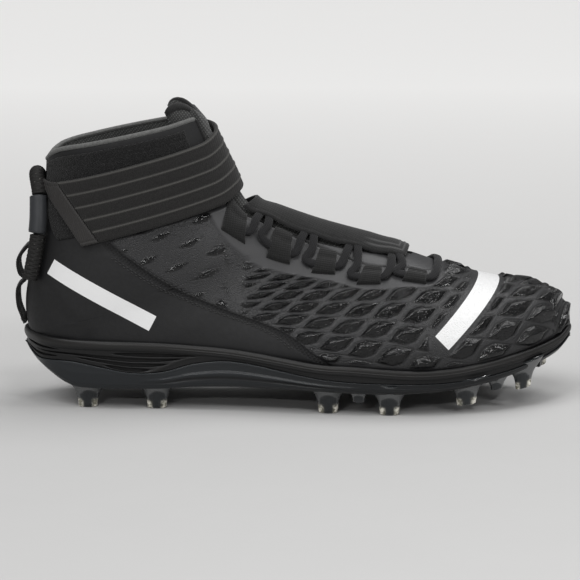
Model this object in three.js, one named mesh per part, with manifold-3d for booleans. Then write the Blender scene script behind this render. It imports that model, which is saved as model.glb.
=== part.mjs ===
// Mid-cut football cleat, right shoe, in millimetres.
// +X points to the toe, +Z up, and the outer (lateral) side faces -Y.
import * as THREE from 'three';
import { mergeVertices } from 'three/addons/utils/BufferGeometryUtils.js';
import Module from 'manifold-3d';

const wasm = await Module();
wasm.setup();

// Driving dimensions
const LENGTH = 300; // sole, heel to toe
const BALL_WIDTH = 104; // sole, across the ball of the foot
const STUD_HEIGHT = 12; // ground to the lowest part of the plate
const SOLE_RISE = 28; // lowest part of the plate to the rim at the heel
const UPPER_RISE = 146; // lowest part of the plate to the front of the collar
const WALL = 2.2; // upper
const SKIN_STEP = 0.9; // moulded forefoot skin, above the rest of the upper
const PLATE_WALL = 3; // outsole plate, at the bottom
const PLATE_WING = 1.4; // outsole plate, up the side
const PLATE_PROUD = 0.7; // plate edge, outside the midsole
const RIM_BAND = 5; // height of the band under the rim
const SOLE_BEVEL = 4; // how far the side draws in at the bottom
const SLOT_DEPTH = 1.6; // slots in the heel side
const SLOT_HEIGHT = 1.8;
const TUCK = 6; // upper edge, below the rim
const INSOLE = 4;
const TONGUE = 5; // padding of the tongue
const THROAT_WIDTH = 26; // gap between the quarters at the collar
const TONGUE_LAP = 9; // tongue, under each edge of the throat
const TONGUE_SIDE = 1.2; // gap between the raised middle of the tongue and the throat
const PANEL = 0.9; // fastening panel
const PANEL_MARGIN = 4; // panel, inside the collar and the strap
const STRAP = 2.1; // thickness
const STRAP_WIDTH = 36.5;
const STRAP_TAB = 9; // smooth end of the strap
const STRAP_CLIMB = 10; // how much higher the strap lies on the inner side
const TUNNEL = 1.6; // webbing of a lace tunnel
const TUNNEL_LENGTH = 13; // at its outer edge
const TUNNEL_TOP = 9.4; // length at its inner edge
const TUNNEL_REACH = 9.5; // across, in plan
const TUNNEL_LEAN = 1.5; // forward lean of its inner edge
const LACE_WIDTH = 4.4;
const LACE_THICK = 2.4;
const LACE_START = 116; // first pair of tunnels
const LACE_PITCH = 24.3;
const COVER = 1.8; // strip over the laces
const COVER_WIDTH = 19;
const STUD_TIP = 10.4; // length of a stud's face
const STUD_SPREAD = 1.9; // stud's foot, against its face
const STUD_FRONT = 10.5; // height of the raised front studs
const LUG_HEIGHT = 5.5;
const LUG_FACE = 6.6;
const LUG_SPREAD = 1.45;
const ROPE = 8.4; // diameter
const SLEEVE = 9.8; // diameter
const WEB_WIDTH = 15;
const WEB_THICK = 1.9;
const WEB_LOOP = 7.4; // how far a heel loop stands off the heel
const GAP = 0.3; // clearance between pieces

// Mesh fineness
const AROUND = 18;
const FORM_ROWS = 22;
const SOLE_STATIONS = 21;
const EPS = 1e-3;

const table = (columns, rows) =>
  rows.map((row, step) => ({ step, ...Object.fromEntries(columns.map((name, i) => [name, row[i]])) }));

// Sections of the upper, from above the collar, round the heel and forward to the toe.
// top is the shin, instep or toe ridge and back is the heel or the bottom, at the other end of the
// section. x is a share of LENGTH, z of UPPER_RISE and widths of BALL_WIDTH. widest is where the
// section is widest, from top to back, and the last two columns say how square its two ends are.
const LAST = table(
  ['topX', 'topZ', 'backX', 'backZ', 'centre', 'lateral', 'medial', 'widest', 'topSquare', 'backSquare'],
  [
    [0.293, 1.157, 0.045, 0.99, 0, 0.266, 0.266, 0.52, 2.1, 2.0],
    [0.327, 1.007, 0.045, 0.832, 0, 0.274, 0.274, 0.52, 2.1, 2.0],
    [0.345, 0.925, 0.043, 0.753, 0, 0.279, 0.279, 0.52, 2.1, 2.0],
    [0.362, 0.849, 0.039, 0.671, 0, 0.284, 0.284, 0.52, 2.0, 2.1],
    [0.378, 0.781, 0.031, 0.589, 0, 0.293, 0.291, 0.53, 1.9, 2.1],
    [0.395, 0.7, 0.022, 0.493, 0, 0.308, 0.303, 0.54, 1.8, 2.2],
    [0.423, 0.637, 0.011, 0.397, 0, 0.322, 0.312, 0.56, 1.75, 2.3],
    [0.46, 0.61, 0.004, 0.301, 0.002, 0.335, 0.322, 0.58, 1.7, 2.4],
    [0.498, 0.582, 0.007, 0.212, 0.003, 0.341, 0.325, 0.6, 1.7, 2.5],
    [0.533, 0.558, 0.023, 0.134, 0.005, 0.342, 0.318, 0.62, 1.7, 2.6],
    [0.567, 0.538, 0.06, 0.082, 0.006, 0.35, 0.31, 0.64, 1.7, 2.7],
    [0.597, 0.521, 0.127, 0.069, 0.01, 0.362, 0.3, 0.65, 1.7, 2.7],
    [0.623, 0.507, 0.217, 0.062, 0.014, 0.376, 0.288, 0.66, 1.7, 2.6],
    [0.65, 0.49, 0.323, 0.055, 0.019, 0.408, 0.292, 0.68, 1.7, 2.6],
    [0.677, 0.476, 0.44, 0.045, 0.024, 0.456, 0.342, 0.72, 1.7, 2.7],
    [0.707, 0.459, 0.553, 0.036, 0.029, 0.5, 0.405, 0.75, 1.75, 2.8],
    [0.74, 0.435, 0.653, 0.034, 0.029, 0.517, 0.438, 0.76, 1.8, 2.8],
    [0.78, 0.411, 0.74, 0.04, 0.029, 0.51, 0.44, 0.76, 1.85, 2.8],
    [0.827, 0.387, 0.813, 0.057, 0.029, 0.468, 0.42, 0.74, 1.95, 2.7],
    [0.873, 0.366, 0.873, 0.08, 0.034, 0.4, 0.362, 0.7, 2.05, 2.6],
    [0.917, 0.353, 0.92, 0.107, 0.038, 0.31, 0.288, 0.66, 2.1, 2.5],
    [0.953, 0.329, 0.957, 0.135, 0.043, 0.212, 0.206, 0.62, 2.2, 2.3],
    [0.977, 0.295, 0.978, 0.165, 0.048, 0.125, 0.127, 0.58, 2.2, 2.2],
    [0.99, 0.258, 0.99, 0.2, 0.048, 0.052, 0.052, 0.5, 2.0, 2.0],
  ],
);
const LAST_END = LAST.length - 1;
const TOE_TIP = { x: 0.994, z: 0.228 };

// Plan outline of the sole: x as a share of LENGTH, the two sides as shares of BALL_WIDTH.
const OUTLINE = table(['at', 'lateral', 'medial'], [
  [0, 0, 0],
  [0.013, -0.13, 0.13],
  [0.04, -0.24, 0.235],
  [0.083, -0.312, 0.302],
  [0.15, -0.352, 0.336],
  [0.233, -0.363, 0.333],
  [0.317, -0.378, 0.317],
  [0.393, -0.406, 0.318],
  [0.467, -0.446, 0.353],
  [0.533, -0.48, 0.405],
  [0.6, -0.503, 0.45],
  [0.667, -0.511, 0.474],
  [0.727, -0.506, 0.486],
  [0.783, -0.479, 0.471],
  [0.833, -0.433, 0.4375],
  [0.88, -0.369, 0.385],
  [0.92, -0.291, 0.325],
  [0.953, -0.209, 0.262],
  [0.977, -0.125, 0.197],
  [0.993, -0.038, 0.128],
  [1, 0.043, 0.043],
]);

// Side view of the sole: heights above the plate's lowest part, as shares of SOLE_RISE.
const SIDE = table(['at', 'rim', 'edge', 'under'], [
  [0, 1.018, 0.74, 0.69],
  [0.013, 1.004, 0.6, 0.514],
  [0.027, 0.986, 0.53, 0.39],
  [0.05, 0.964, 0.521, 0.25],
  [0.073, 0.954, 0.53, 0.114],
  [0.1, 0.946, 0.515, 0.02],
  [0.15, 0.939, 0.42, 0],
  [0.2, 0.929, 0.325, 0],
  [0.257, 0.911, 0.35, 0.01],
  [0.31, 0.875, 0.51, 0.05],
  [0.367, 0.832, 0.585, 0.071],
  [0.417, 0.768, 0.535, 0.071],
  [0.467, 0.686, 0.43, 0.068],
  [0.533, 0.582, 0.3, 0.043],
  [0.6, 0.55, 0.24, 0.018],
  [0.667, 0.495, 0.22, 0.007],
  [0.717, 0.475, 0.215, 0.029],
  [0.773, 0.507, 0.235, 0.071],
  [0.833, 0.593, 0.3, 0.157],
  [0.88, 0.675, 0.385, 0.257],
  [0.92, 0.75, 0.48, 0.371],
  [0.953, 0.821, 0.575, 0.486],
  [0.977, 0.886, 0.67, 0.586],
  [1, 1.018, 0.83, 0.75],
]);

// Profile of the sole's side, from the bottom up: share of the height from under to the band's foot,
// and how far it draws in, as a share of SOLE_BEVEL.
const FLANK = table(['rise', 'inset'], [
  [0, 1],
  [0.12, 0.62],
  [0.4, 0.36],
  [0.85, 0.33],
]);

// Top line of the collar, as shares of LENGTH and UPPER_RISE.
const COLLAR = table(['x', 'z'], [
  [-0.1, 0.81],
  [0.04, 0.818],
  [0.055, 0.85],
  [0.075, 0.873],
  [0.13, 0.898],
  [0.2, 0.928],
  [0.267, 0.957],
  [0.313, 0.981],
  [0.36, 0.99],
  [0.5, 0.99],
]);

// Top line of the tongue, as shares of LENGTH and UPPER_RISE.
const TONGUE_TOP = table(['x', 'z'], [
  [0.1, 0.94],
  [0.233, 0.96],
  [0.26, 1.0],
  [0.28, 1.035],
  [0.297, 1.042],
  [0.313, 1.028],
  [0.335, 0.99],
  [0.5, 0.96],
]);

// Seam where the moulded skin starts on each side, from the top down, as shares of LENGTH and
// UPPER_RISE.
const SEAM = table(['x', 'z'], [
  [0.375, 1.2],
  [0.357, 0.67],
  [0.165, 0.56],
  [0.15, 0.53],
  [0.193, 0.475],
  [0.273, 0.37],
  [0.352, 0.3],
  [0.457, 0.224],
  [0.513, 0.149],
  [0.56, 0.08],
  [0.58, -0.3],
]);

// Half width of the throat by section, as a share of half of THROAT_WIDTH.
const THROAT = table(['at', 'half'], [
  [0, 1],
  [2, 1],
  [4, 0.95],
  [6, 0.88],
  [9, 0.86],
  [12, 0.86],
  [14, 0.76],
  [14.7, 0.5],
  [15, 0.12],
]);

// Studs: x as a share of LENGTH, side, how far the face lies inside the outline as a share of
// BALL_WIDTH, whether it stands on the ground, and its size as a share of STUD_TIP.
const STUDS = table(['name', 'at', 'side', 'inset', 'grounded', 'size'], [
  ['heel_back_lateral', 0.12, 'lateral', 0.12, true, 1],
  ['heel_back_medial', 0.12, 'medial', 0.11, true, 1],
  ['heel_front_lateral', 0.245, 'lateral', 0.115, true, 1],
  ['heel_front_medial', 0.245, 'medial', 0.11, true, 1],
  ['ball_back_lateral', 0.553, 'lateral', 0.12, true, 1],
  ['ball_back_medial', 0.57, 'medial', 0.105, true, 1],
  ['ball_front_lateral', 0.662, 'lateral', 0.095, true, 1],
  ['ball_front_medial', 0.678, 'medial', 0.1, true, 1],
  ['fore_lateral', 0.8, 'lateral', 0.1, false, 1],
  ['fore_medial', 0.8, 'medial', 0.1, false, 1],
  ['toe_lateral', 0.905, 'lateral', 0.085, false, 0.8],
  ['toe_medial', 0.895, 'medial', 0.08, false, 0.8],
  ['toe_front', 0.945, 'medial', 0.14, false, 0.8],
]);

// Low lugs moulded with the plate.
const LUGS = table(['at', 'side', 'inset'], [
  [0.607, 'lateral', 0.085],
  [0.62, 'medial', 0.08],
  [0.855, 'lateral', 0.07],
  [0.852, 'medial', 0.08],
]);

// Section of a stud's face, three blades round a core, as shares of STUD_TIP: along, outward.
const STUD_FACE = [
  [0, 0.4],
  [0.5, 0.18],
  [0.46, -0.1],
  [0.14, -0.12],
  [0.1, -0.46],
  [-0.1, -0.46],
  [-0.14, -0.12],
  [-0.46, -0.1],
  [-0.5, 0.18],
];

// Stud height to foot spread: share of the height, share of the spread.
const STUD_FLARE = table(['up', 'spread'], [
  [0, 0],
  [0.45, 0.28],
  [0.8, 0.62],
  [1, 1],
]);

// Slots in the heel side: x from and to as shares of LENGTH, height as a share of the way from the
// plate's edge to the foot of the rim band.
const SLOTS = table(['from', 'to', 'height'], [
  [0.05, 0.33, 0.82],
  [0.1, 0.28, 0.5],
  [0.15, 0.24, 0.2],
]);

// Top edge of the strap on the outer side: a point of it, as shares of LENGTH and UPPER_RISE, and its
// slope.
const STRAP_LINE = { x: 0.062, z: 0.747, slope: 0.272 };
// Ends of the strap as shares of LENGTH: top and bottom of its outer end, and the seam inside.
const STRAP_END = { top: 0.044, bottom: 0.117, anchor: 0.15 };
const PANEL_FRONT = 0.335; // share of LENGTH

// Climb of the strap from the outer to the inner side: y as a share of BALL_WIDTH.
const CLIMB = table(['y', 'climb'], [
  [-0.6, 0],
  [-0.17, 0],
  [-0.08, 0.25],
  [0, 0.5],
  [0.08, 0.75],
  [0.17, 1],
  [0.6, 1],
]);

// Pairs of lace tunnels from the top down: distance of the outer edge from the middle plane, as a
// share of BALL_WIDTH, and how far ahead of the pair the laces cross, as a share of LACE_PITCH.
const TUNNELS = table(['out', 'crossing'], [
  [0.212, 0.69],
  [0.212, 0.69],
  [0.23, 0.64],
  [0.272, 0.5],
  [0.25, 0.5],
]);

// Sections of the upper that the lace cover runs through.
const COVER_STEPS = [5.6, 6, 7, 9, 11, 13, 14.7];

// Heel rope from the foot of a leg up to the middle of the bend: section, and how far it lies from
// the middle plane as a share of BALL_WIDTH.
const ROPE_LEG = table(['at', 'across'], [
  [6.25, 0.178],
  [5.6, 0.172],
  [4.9, 0.158],
  [4.1, 0.14],
  [3.3, 0.118],
  [2.6, 0.095],
  [2.15, 0.062],
  [1.9, 0.03],
  [1.82, 0],
]);
const SLEEVE_SPAN = { from: 0.4, to: 0.72 };

// Heel webbing from the top down: height as a share of UPPER_RISE, stand-off as a share of WEB_LOOP.
const WEBBING = table(['z', 'off'], [
  [0.55, 0.15],
  [0.515, 0.17],
  [0.495, 0.62],
  [0.45, 1],
  [0.4, 0.68],
  [0.377, 0.17],
  [0.365, 0.36],
  [0.34, 0.62],
  [0.28, 0.52],
  [0.235, 0.28],
  [0.21, 0.17],
]);

// Curves through a column of a table

const lerp = (a, b, t) => a + (b - a) * t;

function curve(rows, key, name) {
  const x = rows.map((row) => row[key]);
  const y = rows.map((row) => row[name]);
  const last = x.length - 1;
  const slope = x.map((_, i) => {
    const before = Math.max(i - 1, 0);
    const after = Math.min(i + 1, last);
    return (y[after] - y[before]) / (x[after] - x[before]);
  });
  return (at) => {
    let i = 0;
    while (i < last - 1 && at > x[i + 1]) i += 1;
    const h = x[i + 1] - x[i];
    const t = Math.min(Math.max((at - x[i]) / h, 0), 1);
    const t2 = t * t;
    const t3 = t2 * t;
    const ends = (2 * t3 - 3 * t2 + 1) * y[i] + (3 * t2 - 2 * t3) * y[i + 1];
    return ends + (t3 - 2 * t2 + t) * h * slope[i] + (t3 - t2) * h * slope[i + 1];
  };
}

const last = Object.fromEntries(
  Object.keys(LAST[0]).map((name) => [name, curve(LAST, 'step', name)]),
);
const rimShare = curve(SIDE, 'at', 'rim');
const edgeShare = curve(SIDE, 'at', 'edge');
const underShare = curve(SIDE, 'at', 'under');
const rimZ = (x) => STUD_HEIGHT + SOLE_RISE * rimShare(x / LENGTH);
const edgeZ = (x) => STUD_HEIGHT + SOLE_RISE * edgeShare(x / LENGTH);
const underZ = (x) => STUD_HEIGHT + SOLE_RISE * underShare(x / LENGTH);
const upperZ = (share) => STUD_HEIGHT + UPPER_RISE * share;

// The outline is smooth in an angle that runs from the heel, 0, to the toe, pi.
const outlineAngle = (share) => Math.acos(1 - 2 * share);
const OUTLINE_TURNS = OUTLINE.map((row) => ({ ...row, turn: outlineAngle(row.at) }));
const outlineSide = {
  lateral: curve(OUTLINE_TURNS, 'turn', 'lateral'),
  medial: curve(OUTLINE_TURNS, 'turn', 'medial'),
};
const outlineY = (x, side) => BALL_WIDTH * outlineSide[side](outlineAngle(x / LENGTH));

// Solids from grids of points

function solid(points, triangles) {
  let volume = 0;
  for (const [a, b, c] of triangles) {
    volume += points[a].dot(new THREE.Vector3().crossVectors(points[b], points[c]));
  }
  const faces = volume > 0 ? triangles : triangles.map(([a, b, c]) => [a, c, b]);
  const mesh = new wasm.Mesh({
    numProp: 3,
    vertProperties: new Float32Array(points.flatMap((p) => [p.x, p.y, p.z])),
    triVerts: new Uint32Array(faces.flat()),
  });
  return new wasm.Manifold(mesh);
}

// Rings of equal count become a closed solid. A cap is a fan to a given point or, for a ring that
// runs out on one side and back on the other, a strip across it.
function loft(rings, startTip, endTip) {
  const count = rings[0].length;
  const points = rings.flat();
  const triangles = [];
  for (let r = 0; r + 1 < rings.length; r += 1) {
    for (let k = 0; k < count; k += 1) {
      const a = r * count + k;
      const b = r * count + ((k + 1) % count);
      triangles.push([a, b, a + count], [b, b + count, a + count]);
    }
  }
  const cap = (first, tip, flip) => {
    const add = (a, b, c) => triangles.push(flip ? [a, c, b] : [a, b, c]);
    if (tip) {
      points.push(tip);
      for (let k = 0; k < count; k += 1) add(first + k, points.length - 1, first + ((k + 1) % count));
      return;
    }
    const half = count / 2;
    const out = (k) => first + k;
    const back = (k) => first + ((count - k) % count);
    for (let k = 0; k < half; k += 1) {
      if (k > 0) add(out(k), back(k), out(k + 1));
      if (k + 1 < half) add(back(k), back(k + 1), out(k + 1));
    }
  };
  cap(0, startTip, false);
  cap((rings.length - 1) * count, endTip, true);
  return solid(points, triangles);
}

const middle = (ring) =>
  ring.reduce((sum, p) => sum.add(p), new THREE.Vector3()).multiplyScalar(1 / ring.length);

// A side-view or plan outline pushed straight through, as a cutter.
const FAR = LENGTH;
function prism(outline, low, high, axis) {
  const place = axis === 'y' ? ([x, z], y) => [x, y, z] : ([x, y], z) => [x, y, z];
  const contour = outline.map(([u, v]) => new THREE.Vector2(u, v));
  const faces = THREE.ShapeUtils.triangulateShape(contour, []);
  const count = contour.length;
  const points = [low, high].flatMap((w) => outline.map((p) => new THREE.Vector3(...place(p, w))));
  const triangles = faces.flatMap(([a, b, c]) => [[a, c, b], [a + count, b + count, c + count]]);
  const wound = THREE.ShapeUtils.isClockWise(contour) ? -1 : 1;
  for (let k = 0; k < count; k += 1) {
    const next = (k + 1) % count;
    const quad = [[k, next, k + count], [next, next + count, k + count]];
    triangles.push(...(wound > 0 ? quad : quad.map(([a, b, c]) => [a, c, b])));
  }
  return solid(points, triangles);
}
const sidePrism = (outline, low = -FAR, high = FAR) => prism(outline, low, high, 'y');
const planPrism = (outline, low = 0, high = FAR) => prism(outline, low, high, 'z');

// The form of the upper

// A point of the form: step runs along LAST and turn once round a section, from the top ridge down
// the lateral side to the back and up the medial side.
function formPoint(step, turn) {
  const angle = 2 * Math.PI * turn;
  const fromTop = Math.cos(angle);
  const square = fromTop > 0 ? last.topSquare(step) : last.backSquare(step);
  const along = Math.abs(fromTop) ** (2 / square);
  const across = Math.abs(Math.sin(angle)) ** (2 / square);
  const widest = last.widest(step);
  const down = fromTop > 0 ? widest * (1 - along) : widest + (1 - widest) * along;
  const side = turn < 0.5 ? -last.lateral(step) : last.medial(step);
  return new THREE.Vector3(
    LENGTH * lerp(last.topX(step), last.backX(step), down),
    BALL_WIDTH * (last.centre(step) + side * across),
    upperZ(lerp(last.topZ(step), last.backZ(step), down)),
  );
}

// Outward direction of the form, from neighbouring points.
function formNormal(step, turn) {
  const round = (t) => ((t % 1) + 1) % 1;
  const reach = 0.02;
  const ahead = formPoint(Math.min(step + reach, LAST_END), turn);
  const behind = formPoint(Math.max(step - reach, 0), turn);
  const next = formPoint(step, round(turn + reach / 2));
  const before = formPoint(step, round(turn - reach / 2));
  return next.sub(before).cross(ahead.sub(behind)).normalize();
}
const offForm = (step, turn, offset) =>
  formPoint(step, turn).addScaledVector(formNormal(step, turn), offset);

// The form at an offset, whole or up to a section short of the toe.
function form(offset, to = LAST_END) {
  const rings = [];
  for (let r = 0; r <= Math.ceil((FORM_ROWS * to) / LAST_END); r += 1) {
    const step = (LAST_END * r) / FORM_ROWS;
    const ring = [];
    for (let k = 0; k < AROUND; k += 1) ring.push(offForm(step, k / AROUND, offset));
    rings.push(ring);
  }
  const toe = new THREE.Vector3(
    LENGTH * TOE_TIP.x + offset,
    BALL_WIDTH * last.centre(LAST_END),
    upperZ(TOE_TIP.z),
  );
  return loft(rings, middle(rings[0]), to === LAST_END ? toe : middle(rings[rings.length - 1]));
}

const shell = (inner, outer, to) => form(outer, to).subtract(form(inner, to));

// A band along the top ridge through given sections, half(step) wide to each side, sunk to a depth.
function ridgeBand(steps, half, depth) {
  const rings = steps.map((step) => {
    const ridge = formPoint(step, 0);
    const up = ridge.clone().sub(formPoint(step, 0.5)).normalize();
    const corner = (side, height) =>
      ridge.clone().addScaledVector(up, height).add(new THREE.Vector3(0, side * half(step), 0));
    return [corner(-1, depth), corner(-1, -depth), corner(1, -depth), corner(1, depth)];
  });
  return loft(rings, middle(rings[0]), middle(rings[rings.length - 1]));
}

const throatCurve = curve(THROAT, 'at', 'half');
const throatHalf = (step) => (THROAT_WIDTH / 2) * throatCurve(step);
const THROAT_STEPS = THROAT.map((row) => row.at);
const THROAT_END = THROAT[THROAT.length - 1].at;
const THROAT_DEPTH = 26;
const HEEL_END = 8; // section where the back of the upper turns into its bottom
const WEB_SAMPLES = 26;

const SEAM_OUTLINE = [
  ...SEAM.map((row) => [LENGTH * row.x, upperZ(row.z)]),
  [LENGTH + FAR, upperZ(-1)],
  [LENGTH + FAR, upperZ(2)],
];

// The point of the form's upper side that lies at x and y, lifted by an offset, and its direction.
const HALVINGS = 40; // rounds of a search by halving
function onTop(x, y, offset) {
  const turnAt = (step) => {
    const off = y / BALL_WIDTH - last.centre(step);
    const half = off < 0 ? last.lateral(step) : last.medial(step);
    const across = Math.min(Math.abs(off) / half, 1);
    const turn = Math.asin(across ** (last.topSquare(step) / 2)) / (2 * Math.PI);
    return off < 0 ? turn : 1 - turn;
  };
  let low = 0;
  let high = LAST_END;
  for (let k = 0; k < HALVINGS; k += 1) {
    const step = (low + high) / 2;
    if (formPoint(step, turnAt(step)).x < x) low = step;
    else high = step;
  }
  return { point: offForm(low, turnAt(low), offset), up: formNormal(low, turnAt(low)) };
}

// Everything above a line of the side view, given as a table of x and z.
function above(rows) {
  const samples = 18;
  const height = curve(rows, 'x', 'z');
  const line = [];
  for (let k = 0; k <= samples; k += 1) {
    const share = lerp(rows[0].x, rows[rows.length - 1].x, k / samples);
    line.push([LENGTH * share, upperZ(height(share))]);
  }
  return sidePrism([...line, [LENGTH, upperZ(2)], [-LENGTH, upperZ(2)]]);
}

// Everything below a line of the side view.
function below(lineZ) {
  const line = [];
  for (let k = 0; k <= SOLE_STATIONS; k += 1) {
    const x = (LENGTH * (1 - Math.cos((Math.PI * k) / SOLE_STATIONS))) / 2;
    line.push([x, lineZ(x)]);
  }
  const floor = -STUD_HEIGHT;
  const heel = [-FAR, line[0][1]];
  const toe = [LENGTH + FAR, line[SOLE_STATIONS][1]];
  return sidePrism([heel, ...line, toe, [LENGTH + FAR, floor], [-FAR, floor]]);
}

// The sole

// A point of the plan outline: k counts stations down the lateral side and back up the medial side.
function outlinePoint(k) {
  const count = 2 * SOLE_STATIONS;
  const turn = (Math.PI * Math.min(k, count - k)) / SOLE_STATIONS;
  const side = k <= SOLE_STATIONS ? 'lateral' : 'medial';
  return new THREE.Vector2((LENGTH * (1 - Math.cos(turn))) / 2, BALL_WIDTH * outlineSide[side](turn));
}

function soleRing(inset, height) {
  const count = 2 * SOLE_STATIONS;
  const ring = [];
  for (let k = 0; k < count; k += 1) {
    const here = outlinePoint(k);
    const run = outlinePoint((k + 1) % count).sub(outlinePoint((k + count - 1) % count)).normalize();
    const inward = new THREE.Vector2(-run.y, run.x).multiplyScalar(inset);
    const spot = here.clone().add(inward);
    ring.push(new THREE.Vector3(spot.x, spot.y, height(spot.x)));
  }
  return ring;
}

// The whole sole as one block, grown outward by a margin, with its bottom raised by a floor.
function soleBlock(grow, floor = 0) {
  const bandFoot = (x) => rimZ(x) - Math.min(RIM_BAND, (rimZ(x) - underZ(x)) * 0.45);
  const rings = FLANK.map((row) =>
    soleRing(row.inset * SOLE_BEVEL - grow, (x) =>
      lerp(underZ(x) + floor * (1 - row.rise), bandFoot(x), row.rise),
    ),
  );
  const band = (share, inset) =>
    soleRing(inset - grow, (x) => lerp(bandFoot(x), rimZ(x), share));
  rings.push(band(0, 0.2), band(0.6, 0), band(1, 0.6));
  return loft(rings);
}

// What fills the plate: the sole block above the plate's floor and inside its wing.
function plateCore(grow) {
  return soleBlock(grow - PLATE_WING, PLATE_WALL - grow);
}

// A stud or lug stands under the plate. Its foot follows the plate and its face is flat.
function stud(x, y, side, faceZ, footZ, size, spread) {
  const outward = side === 'lateral' ? -1 : 1;
  const rings = STUD_FLARE.map((row) => {
    const scale = size * lerp(1, spread, row.spread);
    return STUD_FACE.map(([along, out]) => {
      const px = x + along * scale;
      return new THREE.Vector3(px, y + outward * out * scale, lerp(faceZ(px), footZ(px), row.up));
    });
  });
  return loft(rings, middle(rings[0]), middle(rings[rings.length - 1]));
}

function studAt(row) {
  const x = LENGTH * row.at;
  const inward = row.side === 'lateral' ? 1 : -1;
  const y = outlineY(x, row.side) + inward * BALL_WIDTH * row.inset;
  const slope = (underZ(x + EPS) - underZ(x - EPS)) / (2 * EPS);
  const raised = (px) => underZ(x) - STUD_FRONT + slope * (px - x);
  const faceZ = row.grounded ? () => 0 : raised;
  return stud(x, y, row.side, faceZ, (px) => underZ(px) - 1.5 * GAP, STUD_TIP * row.size, STUD_SPREAD);
}

function lugAt(row) {
  const x = LENGTH * row.at;
  const inward = row.side === 'lateral' ? 1 : -1;
  const y = outlineY(x, row.side) + inward * BALL_WIDTH * row.inset;
  const faceZ = (px) => underZ(px) - LUG_HEIGHT;
  return stud(x, y, row.side, faceZ, (px) => underZ(px) + PLATE_WALL / 2, LUG_FACE, LUG_SPREAD);
}

// Pieces

function upper() {
  const skin = form(SKIN_STEP).intersect(sidePrism(SEAM_OUTLINE));
  return form(0)
    .add(skin)
    .subtract(form(-WALL))
    .subtract(above(COLLAR))
    .subtract(ridgeBand(THROAT_STEPS, throatHalf, THROAT_DEPTH))
    .subtract(below((x) => rimZ(x) - TUCK));
}

function slotCut(row) {
  const steps = 8;
  const line = (shift) => {
    const points = [];
    for (let k = 0; k <= steps; k += 1) {
      const x = LENGTH * lerp(row.from, row.to, k / steps);
      const taper = 1 - Math.abs((2 * k) / steps - 1) ** 4;
      const z = lerp(edgeZ(x), rimZ(x) - RIM_BAND, row.height);
      points.push([x, z + shift * SLOT_HEIGHT * (0.1 + 0.4 * taper)]);
    }
    return points;
  };
  return sidePrism([...line(-1), ...line(1).reverse()]);
}

function midsole() {
  const side = soleBlock(0).subtract(below((x) => edgeZ(x) + GAP));
  const core = plateCore(-GAP);
  const deep = soleBlock(-SLOT_DEPTH);
  const slots = SLOTS.map((row) => slotCut(row).subtract(deep));
  return slots.reduce((body, cut) => body.subtract(cut), side.add(core)).subtract(form(SKIN_STEP + GAP));
}

function outsolePlate() {
  const plate = soleBlock(PLATE_PROUD).intersect(below(edgeZ)).subtract(plateCore(0));
  return LUGS.reduce((body, row) => body.add(lugAt(row)), plate);
}

function insole() {
  const bed = (x) => bottomZ(x) + INSOLE;
  const room = form(1).subtract(form(-WALL - GAP)).subtract(below((x) => rimZ(x) - TUCK - GAP));
  return form(0).intersect(below(bed)).subtract(room);
}

// Height of the bottom of the form, as a function of x.
function bottomZ(x) {
  let low = LAST.findIndex((row, i) => i > 0 && row.backZ < row.topZ / 4);
  let high = LAST.length - 1;
  for (let k = 0; k < HALVINGS; k += 1) {
    const step = (low + high) / 2;
    if (LENGTH * last.backX(step) < x) low = step;
    else high = step;
  }
  return upperZ(last.backZ(low));
}

function tongue() {
  const deep = -WALL - GAP;
  const end = THROAT_END + 1;
  const lap = (step) => throatHalf(Math.min(step, THROAT_END - 2)) + TONGUE_LAP;
  const pad = form(deep, end + 1).intersect(ridgeBand([...THROAT_STEPS, end], lap, THROAT_DEPTH));
  const inThroat = (step) => throatHalf(step) - TONGUE_SIDE;
  const proud = form(-GAP, end + 1).intersect(
    ridgeBand(THROAT_STEPS.slice(0, -1), inThroat, THROAT_DEPTH),
  );
  return pad.add(proud).subtract(form(deep - TONGUE, end + 1)).subtract(above(TONGUE_TOP));
}

function fasteningPanel() {
  const margin = PANEL_MARGIN / UPPER_RISE;
  const rim = COLLAR.map((row) => ({ ...row, z: row.z - margin }));
  const rear = LENGTH * STRAP_LINE.x;
  const foot = LENGTH * STRAP_END.bottom + PANEL_MARGIN;
  const low = (x) => strapTop(x) - STRAP_WIDTH + PANEL_MARGIN;
  const front = LENGTH * PANEL_FRONT;
  const face = [
    [rear, strapTop(rear)],
    [foot, low(foot)],
    [front, low(front)],
    [front, upperZ(1)],
    [rear, upperZ(1)],
  ];
  return shell(GAP, GAP + PANEL)
    .intersect(sidePrism(face, -FAR, -throatHalf(0) - PANEL_MARGIN / 2))
    .subtract(above(rim));
}

// Height of the strap's top edge, on the outer side.
function strapTop(x) {
  return upperZ(STRAP_LINE.z) + STRAP_LINE.slope * (x - LENGTH * STRAP_LINE.x);
}

// The strap's course round the ankle, grown by a margin: from a distance behind its outer end to the
// seam on the inner side or, for the tab, over a given length.
function strapCourse(from, length = LENGTH, margin = 0) {
  const rings = CLIMB.map((row) => {
    const sewn = row.y > 0 && length === LENGTH;
    const corner = (x, drop) =>
      new THREE.Vector3(x, BALL_WIDTH * row.y, strapTop(x) + STRAP_CLIMB * row.climb - drop);
    const top = LENGTH * (sewn ? STRAP_END.anchor : STRAP_END.top) + from;
    const bottom = sewn ? top : LENGTH * STRAP_END.bottom + from;
    const base = STRAP_WIDTH + margin;
    return [
      corner(top, -margin),
      corner(top + length, -margin),
      corner(bottom + length, base),
      corner(bottom, base),
    ];
  });
  return loft(rings, middle(rings[0]), middle(rings[rings.length - 1]));
}

const STRAP_INNER = PANEL + 2 * GAP;
const strapShell = () => shell(STRAP_INNER, STRAP_INNER + STRAP);

function ankleStrap() {
  return strapShell().intersect(strapCourse(STRAP_TAB + GAP));
}

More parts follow.
